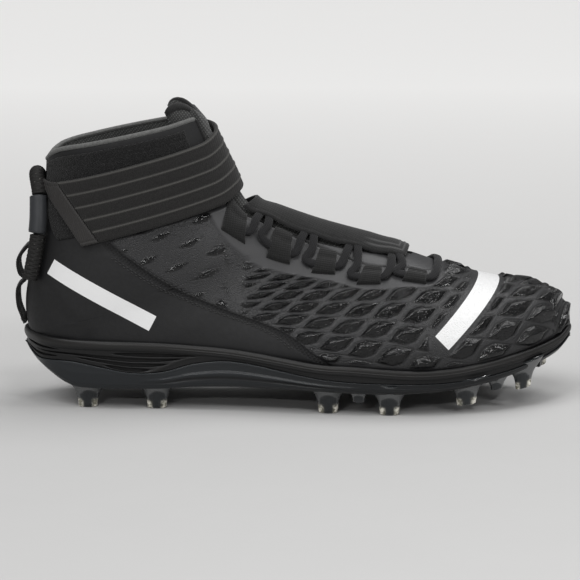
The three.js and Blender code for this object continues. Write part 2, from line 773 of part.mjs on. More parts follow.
// The outer end of the strap, short of the rope's room at the heel.
function strapTab() {
  const end = strapCourse(0, STRAP_TAB);
  const side = sidePrism([[0, 0], [LENGTH, 0], [LENGTH, FAR], [0, FAR]], -FAR, -THROAT_WIDTH / 2);
  return strapShell().intersect(end).intersect(side);
}

// The four corners of a lace tunnel in plan: x at the rear and front of its outer and inner edge.
function tunnelPlan(row) {
  const x = LACE_START + LACE_PITCH * row.step;
  const outer = x - TUNNEL_LEAN;
  const inner = x + TUNNEL_LEAN;
  return {
    rear: { outer: outer - TUNNEL_LENGTH / 2, inner: inner - TUNNEL_TOP / 2 },
    front: { outer: outer + TUNNEL_LENGTH / 2, inner: inner + TUNNEL_TOP / 2 },
    out: BALL_WIDTH * row.out,
    within: BALL_WIDTH * row.out - TUNNEL_REACH,
    crossing: x + LACE_PITCH * row.crossing,
  };
}

function laceTunnel(row, side) {
  const { rear, front, out, within } = tunnelPlan(row);
  const outward = side === 'lateral' ? -1 : 1;
  const outline = [
    [rear.outer, outward * out],
    [front.outer, outward * out],
    [front.inner, outward * within],
    [rear.inner, outward * within],
  ];
  return shell(SKIN_STEP + GAP, SKIN_STEP + GAP + TUNNEL)
    .intersect(planPrism(outline, upperZ(0.25)))
    .subtract(strapCourse(0, LENGTH, GAP));
}

// A flat lace over the upper, through points given by x and y. It sinks by a given depth towards the
// tongue in the middle of the throat.
const LACE_SAMPLES = 8;
const LACE_SINK = SKIN_STEP - GAP;
const LACE_LIFT = SKIN_STEP + 2 * GAP + LACE_THICK / 2;
function lace(path, sink) {
  const course = new THREE.CatmullRomCurve3(path.map(([x, y]) => new THREE.Vector3(x, y, 0)));
  const spots = course.getSpacedPoints(LACE_SAMPLES).map(({ x, y }) => {
    const out = Math.min(Math.abs(y) / (THROAT_WIDTH / 2), 1);
    return onTop(x, y, LACE_LIFT - sink * (1 - out * out));
  });
  const rings = spots.map(({ point, up }, i) => {
    const ahead = spots[Math.min(i + 1, LACE_SAMPLES)].point;
    const run = ahead.clone().sub(spots[Math.max(i - 1, 0)].point).normalize();
    const wide = new THREE.Vector3().crossVectors(run, up).normalize();
    const high = new THREE.Vector3().crossVectors(wide, run);
    const corner = (a, b) => {
      const edge = point.clone().addScaledVector(wide, (a * LACE_WIDTH) / 2);
      return edge.addScaledVector(high, (b * LACE_THICK) / 2);
    };
    return [corner(1, 1), corner(1, -1), corner(-1, -1), corner(-1, 1)];
  });
  return loft(rings, middle(rings[0]), middle(rings[rings.length - 1]));
}

// A lace from beside the front of one pair of tunnels, over the throat, to beside the end of another.
const LACE_BESIDE = LACE_WIDTH / 2 + 7 * GAP;
function laceAcross(from, ends, to, side, sink) {
  const far = ends === to.rear ? -LACE_BESIDE : LACE_BESIDE;
  const path = [
    [from.front.outer + LACE_BESIDE, side * from.out],
    [from.front.inner + LACE_BESIDE, side * from.within],
    [from.crossing, 0],
    [ends.inner + far, -side * to.within],
    [ends.outer + far, -side * to.out],
  ];
  return lace(path, sink);
}
function laceCross(row) {
  const from = tunnelPlan(row);
  const to = tunnelPlan(TUNNELS[row.step + 1]);
  const strand = (side) => laceAcross(from, to.rear, to, side, LACE_SINK);
  return strand(-1).add(strand(1));
}
function laceBar() {
  const from = tunnelPlan(TUNNELS[TUNNELS.length - 1]);
  return laceAcross(from, from.front, from, -1, 0);
}

function laceCover() {
  const inner = LACE_LIFT + LACE_THICK / 2 + 3 * GAP;
  return shell(inner, inner + COVER).intersect(
    ridgeBand(COVER_STEPS, () => COVER_WIDTH / 2, THROAT_DEPTH),
  );
}

// The heel

// A point off the back of the form, at a section and a distance from the middle plane.
function offHeel(step, y, offset) {
  const across = Math.min(Math.abs(y) / (BALL_WIDTH * last.lateral(step)), 1);
  const turn = Math.asin(across ** (last.backSquare(step) / 2)) / (2 * Math.PI);
  return offForm(step, y < 0 ? 0.5 - turn : 0.5 + turn, offset);
}

// A stretch of a curve, between two shares of its length.
class Stretch extends THREE.Curve {
  constructor(course, from, to) {
    super();
    Object.assign(this, { course, from, to });
  }

  getPoint(t, target = new THREE.Vector3()) {
    return target.copy(this.course.getPointAt(lerp(this.from, this.to, t)));
  }
}

// A round piece along the rope's course, between two shares of it from foot to foot.
const ROPE_SIDES = 8;
function ropePiece(from, to, diameter, steps) {
  const spot = (row, side) => offHeel(row.at, side * BALL_WIDTH * row.across, diameter / 2 + 2 * GAP);
  const lateral = ROPE_LEG.map((row) => spot(row, -1));
  const medial = ROPE_LEG.slice(0, -1).map((row) => spot(row, 1));
  const course = new THREE.CatmullRomCurve3([...lateral, ...medial.reverse()]);
  const ring = [];
  for (let k = 0; k < ROPE_SIDES; k += 1) {
    const angle = (2 * Math.PI * k) / ROPE_SIDES;
    ring.push(new THREE.Vector2(Math.cos(angle), Math.sin(angle)).multiplyScalar(diameter / 2));
  }
  const extrudePath = new Stretch(course, from, to);
  const tube = new THREE.ExtrudeGeometry(new THREE.Shape(ring), { steps, extrudePath });
  tube.deleteAttribute('normal');
  tube.deleteAttribute('uv');
  const merged = mergeVertices(tube, EPS);
  return new wasm.Manifold(
    new wasm.Mesh({
      numProp: 3,
      vertProperties: merged.getAttribute('position').array,
      triVerts: new Uint32Array(merged.index.array),
    }),
  );
}
const ROPE_GAP = GAP / BALL_WIDTH; // share of the course between two pieces
const SLEEVE_FROM = SLEEVE_SPAN.from / 2;
const SLEEVE_TO = SLEEVE_SPAN.to / 2;

// Back of the form at a height.
function heelX(z) {
  let low = 0;
  let high = HEEL_END;
  for (let k = 0; k < HALVINGS; k += 1) {
    const step = (low + high) / 2;
    if (upperZ(last.backZ(step)) > z) low = step;
    else high = step;
  }
  return LENGTH * last.backX(low);
}

function heelWebbing() {
  const line = WEBBING.map((row) => {
    const z = upperZ(row.z);
    return new THREE.Vector3(heelX(z) - row.off * WEB_LOOP, 0, z);
  });
  const course = new THREE.CatmullRomCurve3(line);
  const spots = course.getPoints(WEB_SAMPLES);
  const side = (shift) =>
    spots.map((p, i) => {
      const run = spots[Math.min(i + 1, WEB_SAMPLES)].clone().sub(spots[Math.max(i - 1, 0)]).normalize();
      return [p.x - (run.z * shift * WEB_THICK) / 2, p.z + (run.x * shift * WEB_THICK) / 2];
    });
  const outline = [...side(-1), ...side(1).reverse()];
  return sidePrism(outline, -WEB_WIDTH / 2, WEB_WIDTH / 2).subtract(form(GAP));
}

// Scene

const shade = (color, roughness, metalness = 0) => ({ color, roughness, metalness });
const MATERIALS = {
  upper: shade(0x1b1b1d, 0.6),
  lining: shade(0x38393a, 0.95),
  insole: shade(0x232325, 0.9),
  midsole: shade(0x1d1d1f, 0.5),
  plate: shade(0x26282a, 0.35),
  stud: shade(0x5a5f60, 0.25),
  webbing: shade(0x171718, 0.9),
  lace: shade(0x1f1f21, 0.9),
  strap: shade(0x242423, 0.8),
  panel: shade(0x121213, 1),
  rope: shade(0x161617, 0.85),
  sleeve: shade(0x2f3133, 0.55),
};

const shoe = new THREE.Group();
function addPiece(name, body, material) {
  const { vertProperties, triVerts } = body.getMesh();
  const geometry = new THREE.BufferGeometry();
  geometry.setAttribute('position', new THREE.BufferAttribute(new Float32Array(vertProperties), 3));
  geometry.setIndex(new THREE.BufferAttribute(new Uint32Array(triVerts), 1));
  const mesh = new THREE.Mesh(geometry, new THREE.MeshStandardMaterial(MATERIALS[material]));
  mesh.name = name;
  shoe.add(mesh);
}

addPiece('upper', upper(), 'upper');
addPiece('midsole', midsole(), 'midsole');
addPiece('outsole_plate', outsolePlate(), 'plate');
addPiece('insole', insole(), 'insole');
addPiece('tongue', tongue(), 'lining');
addPiece('fastening_panel', fasteningPanel(), 'panel');
addPiece('ankle_strap', ankleStrap(), 'strap');
addPiece('strap_tab', strapTab(), 'sleeve');
for (const row of TUNNELS) {
  for (const side of ['lateral', 'medial']) {
    addPiece(`lace_tunnel_${side}_${row.step + 1}`, laceTunnel(row, side), 'webbing');
  }
}
for (const row of TUNNELS.slice(0, -1)) addPiece(`laces_${row.step + 1}`, laceCross(row), 'lace');
addPiece('laces_bar', laceBar(), 'lace');
addPiece('lace_cover', laceCover(), 'strap');
addPiece('rope_bend', ropePiece(SLEEVE_TO + ROPE_GAP, 1 - SLEEVE_TO - ROPE_GAP, ROPE, 10), 'rope');
addPiece('rope_leg_lateral', ropePiece(0, SLEEVE_FROM - ROPE_GAP, ROPE, 4), 'rope');
addPiece('rope_leg_medial', ropePiece(1 - SLEEVE_FROM + ROPE_GAP, 1, ROPE, 4), 'rope');
addPiece('sleeve_lateral', ropePiece(SLEEVE_FROM, SLEEVE_TO, SLEEVE, 4), 'sleeve');
addPiece('sleeve_medial', ropePiece(1 - SLEEVE_TO, 1 - SLEEVE_FROM, SLEEVE, 4), 'sleeve');
addPiece('heel_webbing', heelWebbing(), 'webbing');
for (const row of STUDS) addPiece(`stud_${row.name}`, studAt(row), 'stud');

// The origin is under the middle of the shoe, on the ground.
const box = new THREE.Box3().setFromObject(shoe);
const centre = box.getCenter(new THREE.Vector3());
shoe.position.set(-centre.x, -centre.y, -box.min.z);
shoe.updateMatrixWorld(true);

export default shoe;
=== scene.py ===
"""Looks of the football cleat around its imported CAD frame.

Shapes are worked out in the shoe's own frame, in millimetres: x from the sole's heel to the toe, y
towards the inner side of the foot, z up. place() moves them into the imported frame, in metres.
"""
import math

import bpy
import numpy as np
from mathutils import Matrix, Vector


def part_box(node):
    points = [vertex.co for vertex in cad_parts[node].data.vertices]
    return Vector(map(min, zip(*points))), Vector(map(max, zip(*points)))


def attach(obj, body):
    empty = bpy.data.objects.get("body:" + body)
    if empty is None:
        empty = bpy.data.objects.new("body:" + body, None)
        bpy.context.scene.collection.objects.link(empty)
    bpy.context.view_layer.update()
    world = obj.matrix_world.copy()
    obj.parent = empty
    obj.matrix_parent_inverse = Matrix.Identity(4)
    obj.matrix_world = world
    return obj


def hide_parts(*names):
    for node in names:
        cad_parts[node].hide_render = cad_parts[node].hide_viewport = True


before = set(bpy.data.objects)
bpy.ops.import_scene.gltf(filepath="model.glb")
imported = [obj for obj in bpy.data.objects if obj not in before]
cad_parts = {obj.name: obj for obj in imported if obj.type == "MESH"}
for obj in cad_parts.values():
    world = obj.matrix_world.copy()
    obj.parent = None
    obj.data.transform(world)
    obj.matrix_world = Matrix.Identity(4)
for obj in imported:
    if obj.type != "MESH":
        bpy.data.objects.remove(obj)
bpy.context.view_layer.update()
scene = bpy.context.scene
rng = np.random.default_rng(7)

MM = 0.001
GAP = 0.3

# Driving dimensions, as in the CAD source
LENGTH = 300.0
BALL_WIDTH = 104.0
STUD_HEIGHT = 12.0
SOLE_RISE = 28.0
UPPER_RISE = 146.0
WALL = 2.2
SKIN_STEP = 0.9
PLATE_PROUD = 0.7
RIM_BAND = 5.0
THROAT_WIDTH = 26.0
TONGUE_LAP = 9.0
PANEL = 0.9
STRAP = 2.1
STRAP_WIDTH = 36.5
STRAP_TAB = 9.0
STRAP_CLIMB = 10.0
STRAP_LINE = {"x": 0.062, "z": 0.747, "slope": 0.272}
TUNNEL_LENGTH = 13.0
TUNNEL_TOP = 9.4
TUNNEL_REACH = 9.5
TUNNEL_LEAN = 1.5
LACE_WIDTH = 4.4
LACE_THICK = 2.4
LACE_START = 116.0
LACE_PITCH = 24.3
COVER_WIDTH = 19.0
STUD_TIP = 10.4
STUD_SPREAD = 1.9
STUD_FRONT = 10.5
LUG_HEIGHT = 5.5
LUG_FACE = 6.6
LUG_SPREAD = 1.45
ROPE = 8.4
SLEEVE = 9.8
WEB_WIDTH = 15.0
WEB_THICK = 1.9
WEB_LOOP = 7.4

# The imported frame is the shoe's own frame, moved: the sole's heel is at x 0, and the heel webbing
# is centred on the middle plane.
SHIFT = np.array([
    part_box("midsole")[0].x / MM,
    (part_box("heel_webbing")[0].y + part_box("heel_webbing")[1].y) / 2 / MM,
    0.0,
])


def place(points):
    """Points of the shoe's own frame, in mm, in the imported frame, in metres."""
    return (np.asarray(points, float) + SHIFT) * MM


def table(columns, rows):
    """Named columns as arrays, with the row's number as step."""
    named = {name: np.array([row[i] for row in rows], float) for i, name in enumerate(columns)}
    named["step"] = np.arange(len(rows), dtype=float)
    return named


# Sections of the upper, as in the CAD source. x is a share of LENGTH, z of UPPER_RISE and widths of
# BALL_WIDTH. widest is where the section is widest, from top to back, and the last two columns say
# how square its two ends are.
LAST = table(
    [
        "topX", "topZ", "backX", "backZ", "centre", "lateral", "medial", "widest",
        "topSquare", "backSquare",
    ],
    [
        [0.293, 1.157, 0.045, 0.99, 0, 0.266, 0.266, 0.52, 2.1, 2.0],
        [0.327, 1.007, 0.045, 0.832, 0, 0.274, 0.274, 0.52, 2.1, 2.0],
        [0.345, 0.925, 0.043, 0.753, 0, 0.279, 0.279, 0.52, 2.1, 2.0],
        [0.362, 0.849, 0.039, 0.671, 0, 0.284, 0.284, 0.52, 2.0, 2.1],
        [0.378, 0.781, 0.031, 0.589, 0, 0.293, 0.291, 0.53, 1.9, 2.1],
        [0.395, 0.7, 0.022, 0.493, 0, 0.308, 0.303, 0.54, 1.8, 2.2],
        [0.423, 0.637, 0.011, 0.397, 0, 0.322, 0.312, 0.56, 1.75, 2.3],
        [0.46, 0.61, 0.004, 0.301, 0.002, 0.335, 0.322, 0.58, 1.7, 2.4],
        [0.498, 0.582, 0.007, 0.212, 0.003, 0.341, 0.325, 0.6, 1.7, 2.5],
        [0.533, 0.558, 0.023, 0.134, 0.005, 0.342, 0.318, 0.62, 1.7, 2.6],
        [0.567, 0.538, 0.06, 0.082, 0.006, 0.35, 0.31, 0.64, 1.7, 2.7],
        [0.597, 0.521, 0.127, 0.069, 0.01, 0.362, 0.3, 0.65, 1.7, 2.7],
        [0.623, 0.507, 0.217, 0.062, 0.014, 0.376, 0.288, 0.66, 1.7, 2.6],
        [0.65, 0.49, 0.323, 0.055, 0.019, 0.408, 0.292, 0.68, 1.7, 2.6],
        [0.677, 0.476, 0.44, 0.045, 0.024, 0.456, 0.342, 0.72, 1.7, 2.7],
        [0.707, 0.459, 0.553, 0.036, 0.029, 0.5, 0.405, 0.75, 1.75, 2.8],
        [0.74, 0.435, 0.653, 0.034, 0.029, 0.517, 0.438, 0.76, 1.8, 2.8],
        [0.78, 0.411, 0.74, 0.04, 0.029, 0.51, 0.44, 0.76, 1.85, 2.8],
        [0.827, 0.387, 0.813, 0.057, 0.029, 0.468, 0.42, 0.74, 1.95, 2.7],
        [0.873, 0.366, 0.873, 0.08, 0.034, 0.4, 0.362, 0.7, 2.05, 2.6],
        [0.917, 0.353, 0.92, 0.107, 0.038, 0.31, 0.288, 0.66, 2.1, 2.5],
        [0.953, 0.329, 0.957, 0.135, 0.043, 0.212, 0.206, 0.62, 2.2, 2.3],
        [0.977, 0.295, 0.978, 0.165, 0.048, 0.125, 0.127, 0.58, 2.2, 2.2],
        [0.99, 0.258, 0.99, 0.2, 0.048, 0.052, 0.052, 0.5, 2.0, 2.0],
    ],
)
LAST_END = LAST["step"][-1]
TOE_TIP = {"x": 0.994, "z": 0.228}

OUTLINE = table(["at", "lateral", "medial"], [
    [0, 0, 0],
    [0.013, -0.13, 0.13],
    [0.04, -0.24, 0.235],
    [0.083, -0.312, 0.302],
    [0.15, -0.352, 0.336],
    [0.233, -0.363, 0.333],
    [0.317, -0.378, 0.317],
    [0.393, -0.406, 0.318],
    [0.467, -0.446, 0.353],
    [0.533, -0.48, 0.405],
    [0.6, -0.503, 0.45],
    [0.667, -0.511, 0.474],
    [0.727, -0.506, 0.486],
    [0.783, -0.479, 0.471],
    [0.833, -0.433, 0.4375],
    [0.88, -0.369, 0.385],
    [0.92, -0.291, 0.325],
    [0.953, -0.209, 0.262],
    [0.977, -0.125, 0.197],
    [0.993, -0.038, 0.128],
    [1, 0.043, 0.043],
])

SIDE = table(["at", "rim", "edge", "under"], [
    [0, 1.018, 0.74, 0.69],
    [0.013, 1.004, 0.6, 0.514],
    [0.027, 0.986, 0.53, 0.39],
    [0.05, 0.964, 0.521, 0.25],
    [0.073, 0.954, 0.53, 0.114],
    [0.1, 0.946, 0.515, 0.02],
    [0.15, 0.939, 0.42, 0],
    [0.2, 0.929, 0.325, 0],
    [0.257, 0.911, 0.35, 0.01],
    [0.31, 0.875, 0.51, 0.05],
    [0.367, 0.832, 0.585, 0.071],
    [0.417, 0.768, 0.535, 0.071],
    [0.467, 0.686, 0.43, 0.068],
    [0.533, 0.582, 0.3, 0.043],
    [0.6, 0.55, 0.24, 0.018],
    [0.667, 0.495, 0.22, 0.007],
    [0.717, 0.475, 0.215, 0.029],
    [0.773, 0.507, 0.235, 0.071],
    [0.833, 0.593, 0.3, 0.157],
    [0.88, 0.675, 0.385, 0.257],
    [0.92, 0.75, 0.48, 0.371],
    [0.953, 0.821, 0.575, 0.486],
    [0.977, 0.886, 0.67, 0.586],
    [1, 1.018, 0.83, 0.75],
])

COLLAR = table(["x", "z"], [
    [-0.1, 0.81],
    [0.04, 0.818],
    [0.055, 0.85],
    [0.075, 0.873],
    [0.13, 0.898],
    [0.2, 0.928],
    [0.267, 0.957],
    [0.313, 0.981],
    [0.36, 0.99],
    [0.5, 0.99],
])

TONGUE_TOP = table(["x", "z"], [
    [0.1, 0.94],
    [0.233, 0.96],
    [0.26, 1.0],
    [0.28, 1.035],
    [0.297, 1.042],
    [0.313, 1.028],
    [0.335, 0.99],
    [0.5, 0.96],
])

THROAT = table(["at", "half"], [
    [0, 1],
    [2, 1],
    [4, 0.95],
    [6, 0.88],
    [9, 0.86],
    [12, 0.86],
    [14, 0.76],
    [14.7, 0.5],
    [15, 0.12],
])

# Line of the stitched seam from the strap down to the sole, as shares of LENGTH and UPPER_RISE
SEAM = table(["z", "x"], [
    [-0.3, 0.58],
    [0.08, 0.56],
    [0.149, 0.513],
    [0.224, 0.457],
    [0.3, 0.352],
    [0.37, 0.273],
    [0.475, 0.193],
    [0.55, 0.15],
    [0.7, 0.08],
    [1.2, -0.1],
])

TUNNELS = table(["out", "crossing"], [
    [0.212, 0.69],
    [0.212, 0.69],
    [0.23, 0.64],
    [0.272, 0.5],
    [0.25, 0.5],
])

# Name, share of LENGTH, side, share of BALL_WIDTH in from the outline, on the floor or not, size
STUDS = [
    ("heel_back_lateral", 0.12, "lateral", 0.12, True, 1),
    ("heel_back_medial", 0.12, "medial", 0.11, True, 1),
    ("heel_front_lateral", 0.245, "lateral", 0.115, True, 1),
    ("heel_front_medial", 0.245, "medial", 0.11, True, 1),
    ("ball_back_lateral", 0.553, "lateral", 0.12, True, 1),
    ("ball_back_medial", 0.57, "medial", 0.105, True, 1),
    ("ball_front_lateral", 0.662, "lateral", 0.095, True, 1),
    ("ball_front_medial", 0.678, "medial", 0.1, True, 1),
    ("fore_lateral", 0.8, "lateral", 0.1, False, 1),
    ("fore_medial", 0.8, "medial", 0.1, False, 1),
    ("toe_lateral", 0.905, "lateral", 0.085, False, 0.8),
    ("toe_medial", 0.895, "medial", 0.08, False, 0.8),
    ("toe_front", 0.945, "medial", 0.14, False, 0.8),
]
LUGS = [
    (0.607, "lateral", 0.085),
    (0.62, "medial", 0.08),
    (0.855, "lateral", 0.07),
    (0.852, "medial", 0.08),
]
STUD_FACE = np.array([
    [0, 0.4], [0.5, 0.18], [0.46, -0.1], [0.14, -0.12], [0.1, -0.46],
    [-0.1, -0.46], [-0.14, -0.12], [-0.46, -0.1], [-0.5, 0.18],
])

ROPE_LEG = table(["at", "across"], [
    [6.25, 0.178],
    [5.6, 0.172],
    [4.9, 0.158],
    [4.1, 0.14],
    [3.3, 0.118],
    [2.6, 0.095],
    [2.15, 0.062],
    [1.9, 0.03],
    [1.82, 0],
])
SLEEVE_SPAN = (0.4, 0.72)

WEBBING = table(["z", "off"], [
    [0.55, 0.15],
    [0.515, 0.17],
    [0.495, 0.62],
    [0.45, 1],
    [0.4, 0.68],
    [0.377, 0.17],
    [0.365, 0.36],
    [0.34, 0.62],
    [0.28, 0.52],
    [0.235, 0.28],
    [0.21, 0.17],
])


def curve(rows, key, name):
    """A smooth curve through a column of a table."""
    x = rows[key]
    y = rows[name]
    low = np.maximum(np.arange(len(x)) - 1, 0)
    high = np.minimum(np.arange(len(x)) + 1, len(x) - 1)
    slope = (y[high] - y[low]) / (x[high] - x[low])

    def at(value):
        value = np.asarray(value, float)
        i = np.clip(np.searchsorted(x, value) - 1, 0, len(x) - 2)
        h = x[i + 1] - x[i]
        t = np.clip((value - x[i]) / h, 0, 1)
        t2 = t * t
        t3 = t2 * t
        ends = (2 * t3 - 3 * t2 + 1) * y[i] + (3 * t2 - 2 * t3) * y[i + 1]
        return ends + (t3 - 2 * t2 + t) * h * slope[i] + (t3 - t2) * h * slope[i + 1]

    return at


last = {name: curve(LAST, "step", name) for name in LAST}
side_of = {name: curve(SIDE, "at", name) for name in ("rim", "edge", "under")}
collar_z = curve(COLLAR, "x", "z")
tongue_top_z = curve(TONGUE_TOP, "x", "z")
seam_x = curve(SEAM, "z", "x")
throat_half_share = curve(THROAT, "at", "half")


def upper_z(share):
    return STUD_HEIGHT + UPPER_RISE * share


def side_z(name, x):
    """Height of the sole's rim, plate edge or under side at x."""
    return STUD_HEIGHT + SOLE_RISE * side_of[name](np.asarray(x) / LENGTH)


def outline_angle(share):
    return np.arccos(np.clip(1 - 2 * np.asarray(share, float), -1, 1))


OUTLINE["turn"] = outline_angle(OUTLINE["at"])
outline_side = {name: curve(OUTLINE, "turn", name) for name in ("lateral", "medial")}


def lerp(a, b, t):
    return a + (b - a) * t


def smooth(low, high, value):
    """0 below low, 1 above high, and soft between."""
    t = np.clip((value - low) / (high - low), 0, 1)
    return t * t * (3 - 2 * t)


def bell(value, middle, width):
    return np.exp(-(((value - middle) / width) ** 2))


def form_point(step, turn):
    """Points of the upper's form: step along LAST, turn round the section from the top ridge."""
    step, turn = np.broadcast_arrays(np.asarray(step, float), np.asarray(turn, float) % 1.0)
    angle = 2 * np.pi * turn
    from_top = np.cos(angle)
    square = np.where(from_top > 0, last["topSquare"](step), last["backSquare"](step))
    along = np.abs(from_top) ** (2 / square)
    across = np.abs(np.sin(angle)) ** (2 / square)
    widest = last["widest"](step)
    down = np.where(from_top > 0, widest * (1 - along), widest + (1 - widest) * along)
    side = np.where(turn < 0.5, -last["lateral"](step), last["medial"](step))
    return np.stack([
        LENGTH * lerp(last["topX"](step), last["backX"](step), down),
        BALL_WIDTH * (last["centre"](step) + side * across),
        upper_z(lerp(last["topZ"](step), last["backZ"](step), down)),
    ], -1)


def unit(v):
    return v / np.maximum(np.linalg.norm(v, axis=-1, keepdims=True), 1e-9)


def form_normal(step, turn):
    step, turn = np.broadcast_arrays(np.asarray(step, float), np.asarray(turn, float))
    reach = 0.02
    ahead = form_point(np.minimum(step + reach, LAST_END), turn)
    behind = form_point(np.maximum(step - reach, 0), turn)
    after = form_point(step, turn + reach / 2)
    before = form_point(step, turn - reach / 2)
    return unit(np.cross(after - before, ahead - behind))


def off_form(step, turn, offset):
    offset = np.asarray(offset, float)
    return form_point(step, turn) + form_normal(step, turn) * offset[..., None]


def halve(low, high, too_low, count=34):
    """Vectorised halving: moves up where too_low(middle) is true."""
    low, high = np.broadcast_arrays(np.asarray(low, float), np.asarray(high, float))
    low, high = low.copy(), high.copy()
    for _ in range(count):
        middle = (low + high) / 2
        up = too_low(middle)
        low = np.where(up, middle, low)
        high = np.where(up, high, middle)
    return (low + high) / 2


def turn_at_y(step, y):
    """Turn of the point of a section's upper side that lies at y."""
    off = y / BALL_WIDTH - last["centre"](step)
    half = np.where(off < 0, last["lateral"](step), last["medial"](step))
    turn = np.arcsin(np.minimum(np.abs(off) / half, 1) ** (last["topSquare"](step) / 2)) / (2 * np.pi)
    return np.where(off < 0, turn, -turn)


def on_top(x, y, offset):
    """The point of the form's upper side at x and y, lifted, and the direction up from it."""
    x, y = np.broadcast_arrays(np.asarray(x, float), np.asarray(y, float))
    step = halve(np.zeros(x.shape), LAST_END, lambda s: form_point(s, turn_at_y(s, y))[..., 0] < x)
    turn = turn_at_y(step, y)
    return off_form(step, turn, np.broadcast_to(offset, x.shape)), form_normal(step, turn)


# Materials

def node(tree, kind, inputs=None, **settings):
    made = tree.nodes.new(kind)
    for key, value in settings.items():
        setattr(made, key, value)
    for key, value in (inputs or {}).items():
        if isinstance(value, bpy.types.NodeSocket):
            tree.links.new(value, made.inputs[key])
        else:
            made.inputs[key].default_value = value
    return made


def mapped(tree, turn=(0, 0, 0), stretch=(1, 1, 1)):
    where = node(tree, "ShaderNodeTexCoord").outputs["Object"]
    made = node(tree, "ShaderNodeMapping", {"Vector": where, "Rotation": turn, "Scale": stretch})
    return made.outputs["Vector"]


def bands(tree, pitch, turn=(0, 0, 0)):
    """Straight bands along x, turned, with a pitch in mm."""
    scale = 2 * math.pi / 20 / (pitch * MM)
    made = node(
        tree, "ShaderNodeTexWave", {"Vector": mapped(tree, turn), "Scale": scale}, bands_direction="X"
    )
    return made.outputs["Fac"]


def noise(tree, size, detail=3.0, rough=0.6):
    made = node(
        tree, "ShaderNodeTexNoise",
        {"Vector": mapped(tree), "Scale": 1 / (size * MM), "Detail": detail, "Roughness": rough},
    )
    return made.outputs["Fac"]


def cells(tree, size):
    made = node(tree, "ShaderNodeTexVoronoi", {"Vector": mapped(tree), "Scale": 1 / (size * MM)})
    return made.outputs["Distance"]


def math_node(tree, operation, a, b=0.0):
    made = node(tree, "ShaderNodeMath", {0: a, 1: b}, operation=operation)
    return made.outputs[0]


def weave(tree, pitch, slant=0.0):
    """Threads that cross, with a pitch in mm, in the plane of the side view."""
    one = bands(tree, pitch, (0, slant, 0))
    other = bands(tree, pitch, (0, slant + math.pi / 2, 0))
    return math_node(tree, "MULTIPLY", one, other)


def attribute(tree, name):
    return node(tree, "ShaderNodeAttribute", attribute_name=name).outputs["Fac"]


def ramp(tree, factor, low, high):
    made = node(tree, "ShaderNodeMapRange", {0: factor, 1: low, 2: high, 3: 0.0, 4: 1.0})
    return made.outputs[0]


def mix_colour(tree, factor, a, b):
    made = node(tree, "ShaderNodeMix", data_type="RGBA")
    for socket, value in (("Factor_Float", factor), ("A_Color", a), ("B_Color", b)):
        target = next(s for s in made.inputs if s.identifier == socket)
        if isinstance(value, bpy.types.NodeSocket):
            tree.links.new(value, target)
        else:
            target.default_value = value if isinstance(value, float) else (*value, 1)
    return next(s for s in made.outputs if s.identifier == "Result_Color")


def mix_value(tree, factor, a, b):
    made = node(tree, "ShaderNodeMapRange", {0: factor, 1: 0.0, 2: 1.0, 3: a, 4: b})
    return made.outputs[0]


class Finish:
    """A material built up in layers of colour, roughness and relief."""

    def __init__(self, name, colour, roughness, vary=0.12, grain=1.5, **fixed):
        fixed.setdefault("Specular_IOR_Level", 0.3)
        self.mat = bpy.data.materials.new(name)
        self.mat.use_nodes = True
        self.tree = self.mat.node_tree
        self.bsdf = self.tree.nodes["Principled BSDF"]
        for key, value in fixed.items():
            self.bsdf.inputs[key.replace("_", " ")].default_value = value
        dark = tuple(c * (1 - vary) for c in colour)
        light = tuple(min(c * (1 + vary), 1) for c in colour)
        spots = ramp(self.tree, noise(self.tree, grain), 0.35, 0.65)
        self.colour = mix_colour(self.tree, spots, dark, light)
        self.rough = mix_value(self.tree, spots, roughness * 1.04, roughness * 0.96)
        self.relief = None

    def paint(self, factor, colour, roughness=None):
        """Another colour, and roughness, where the factor is 1."""
        self.colour = mix_colour(self.tree, factor, self.colour, colour)
        if roughness is not None:
            self.rough = mix_value(self.tree, factor, self.rough, roughness)
        return self

    def bump(self, height, depth):
        """Relief of a depth in mm."""
        inputs = {"Height": height, "Distance": depth * MM, "Strength": 1.0}
        if self.relief:
            inputs["Normal"] = self.relief
        self.relief = node(self.tree, "ShaderNodeBump", inputs).outputs["Normal"]
        return self

    def done(self):
        self.tree.links.new(self.colour, self.bsdf.inputs["Base Color"])
        self.tree.links.new(self.rough, self.bsdf.inputs["Roughness"])
        if self.relief:
            self.tree.links.new(self.relief, self.bsdf.inputs["Normal"])
        return self.mat


# The two plain white bars, in the side view, in mm
HEEL_BAR = {"start": (17, 77), "end": (72, 48), "half": 4.4}
TOE_BAND = {"start": (226, 40), "end": (266, 80), "half": 5.0}


def bar_factor(tree, start, end, half):
    """A straight bar with square ends between two points of the side view, as a material's mask."""
    middle = (np.array(start) + np.array(end)) / 2 + SHIFT[[0, 2]]
    run = np.array(end, float) - np.array(start, float)
    where = node(tree, "ShaderNodeTexCoord").outputs["Object"]
    turned = node(
        tree, "ShaderNodeMapping",
        {
            "Vector": where,
            "Location": (middle[0] * MM, 0, middle[1] * MM),
            "Rotation": (0, -math.atan2(run[1], run[0]), 0),
        },
        vector_type="TEXTURE",
    )
    parts = node(tree, "ShaderNodeSeparateXYZ", {0: turned.outputs["Vector"]})
    reach = np.linalg.norm(run) / 2 * MM
    along = math_node(tree, "LESS_THAN", math_node(tree, "ABSOLUTE", parts.outputs[0]), reach)
    off = math_node(tree, "LESS_THAN", math_node(tree, "ABSOLUTE", parts.outputs[2]), half * MM)
    return math_node(tree, "MULTIPLY", along, off)


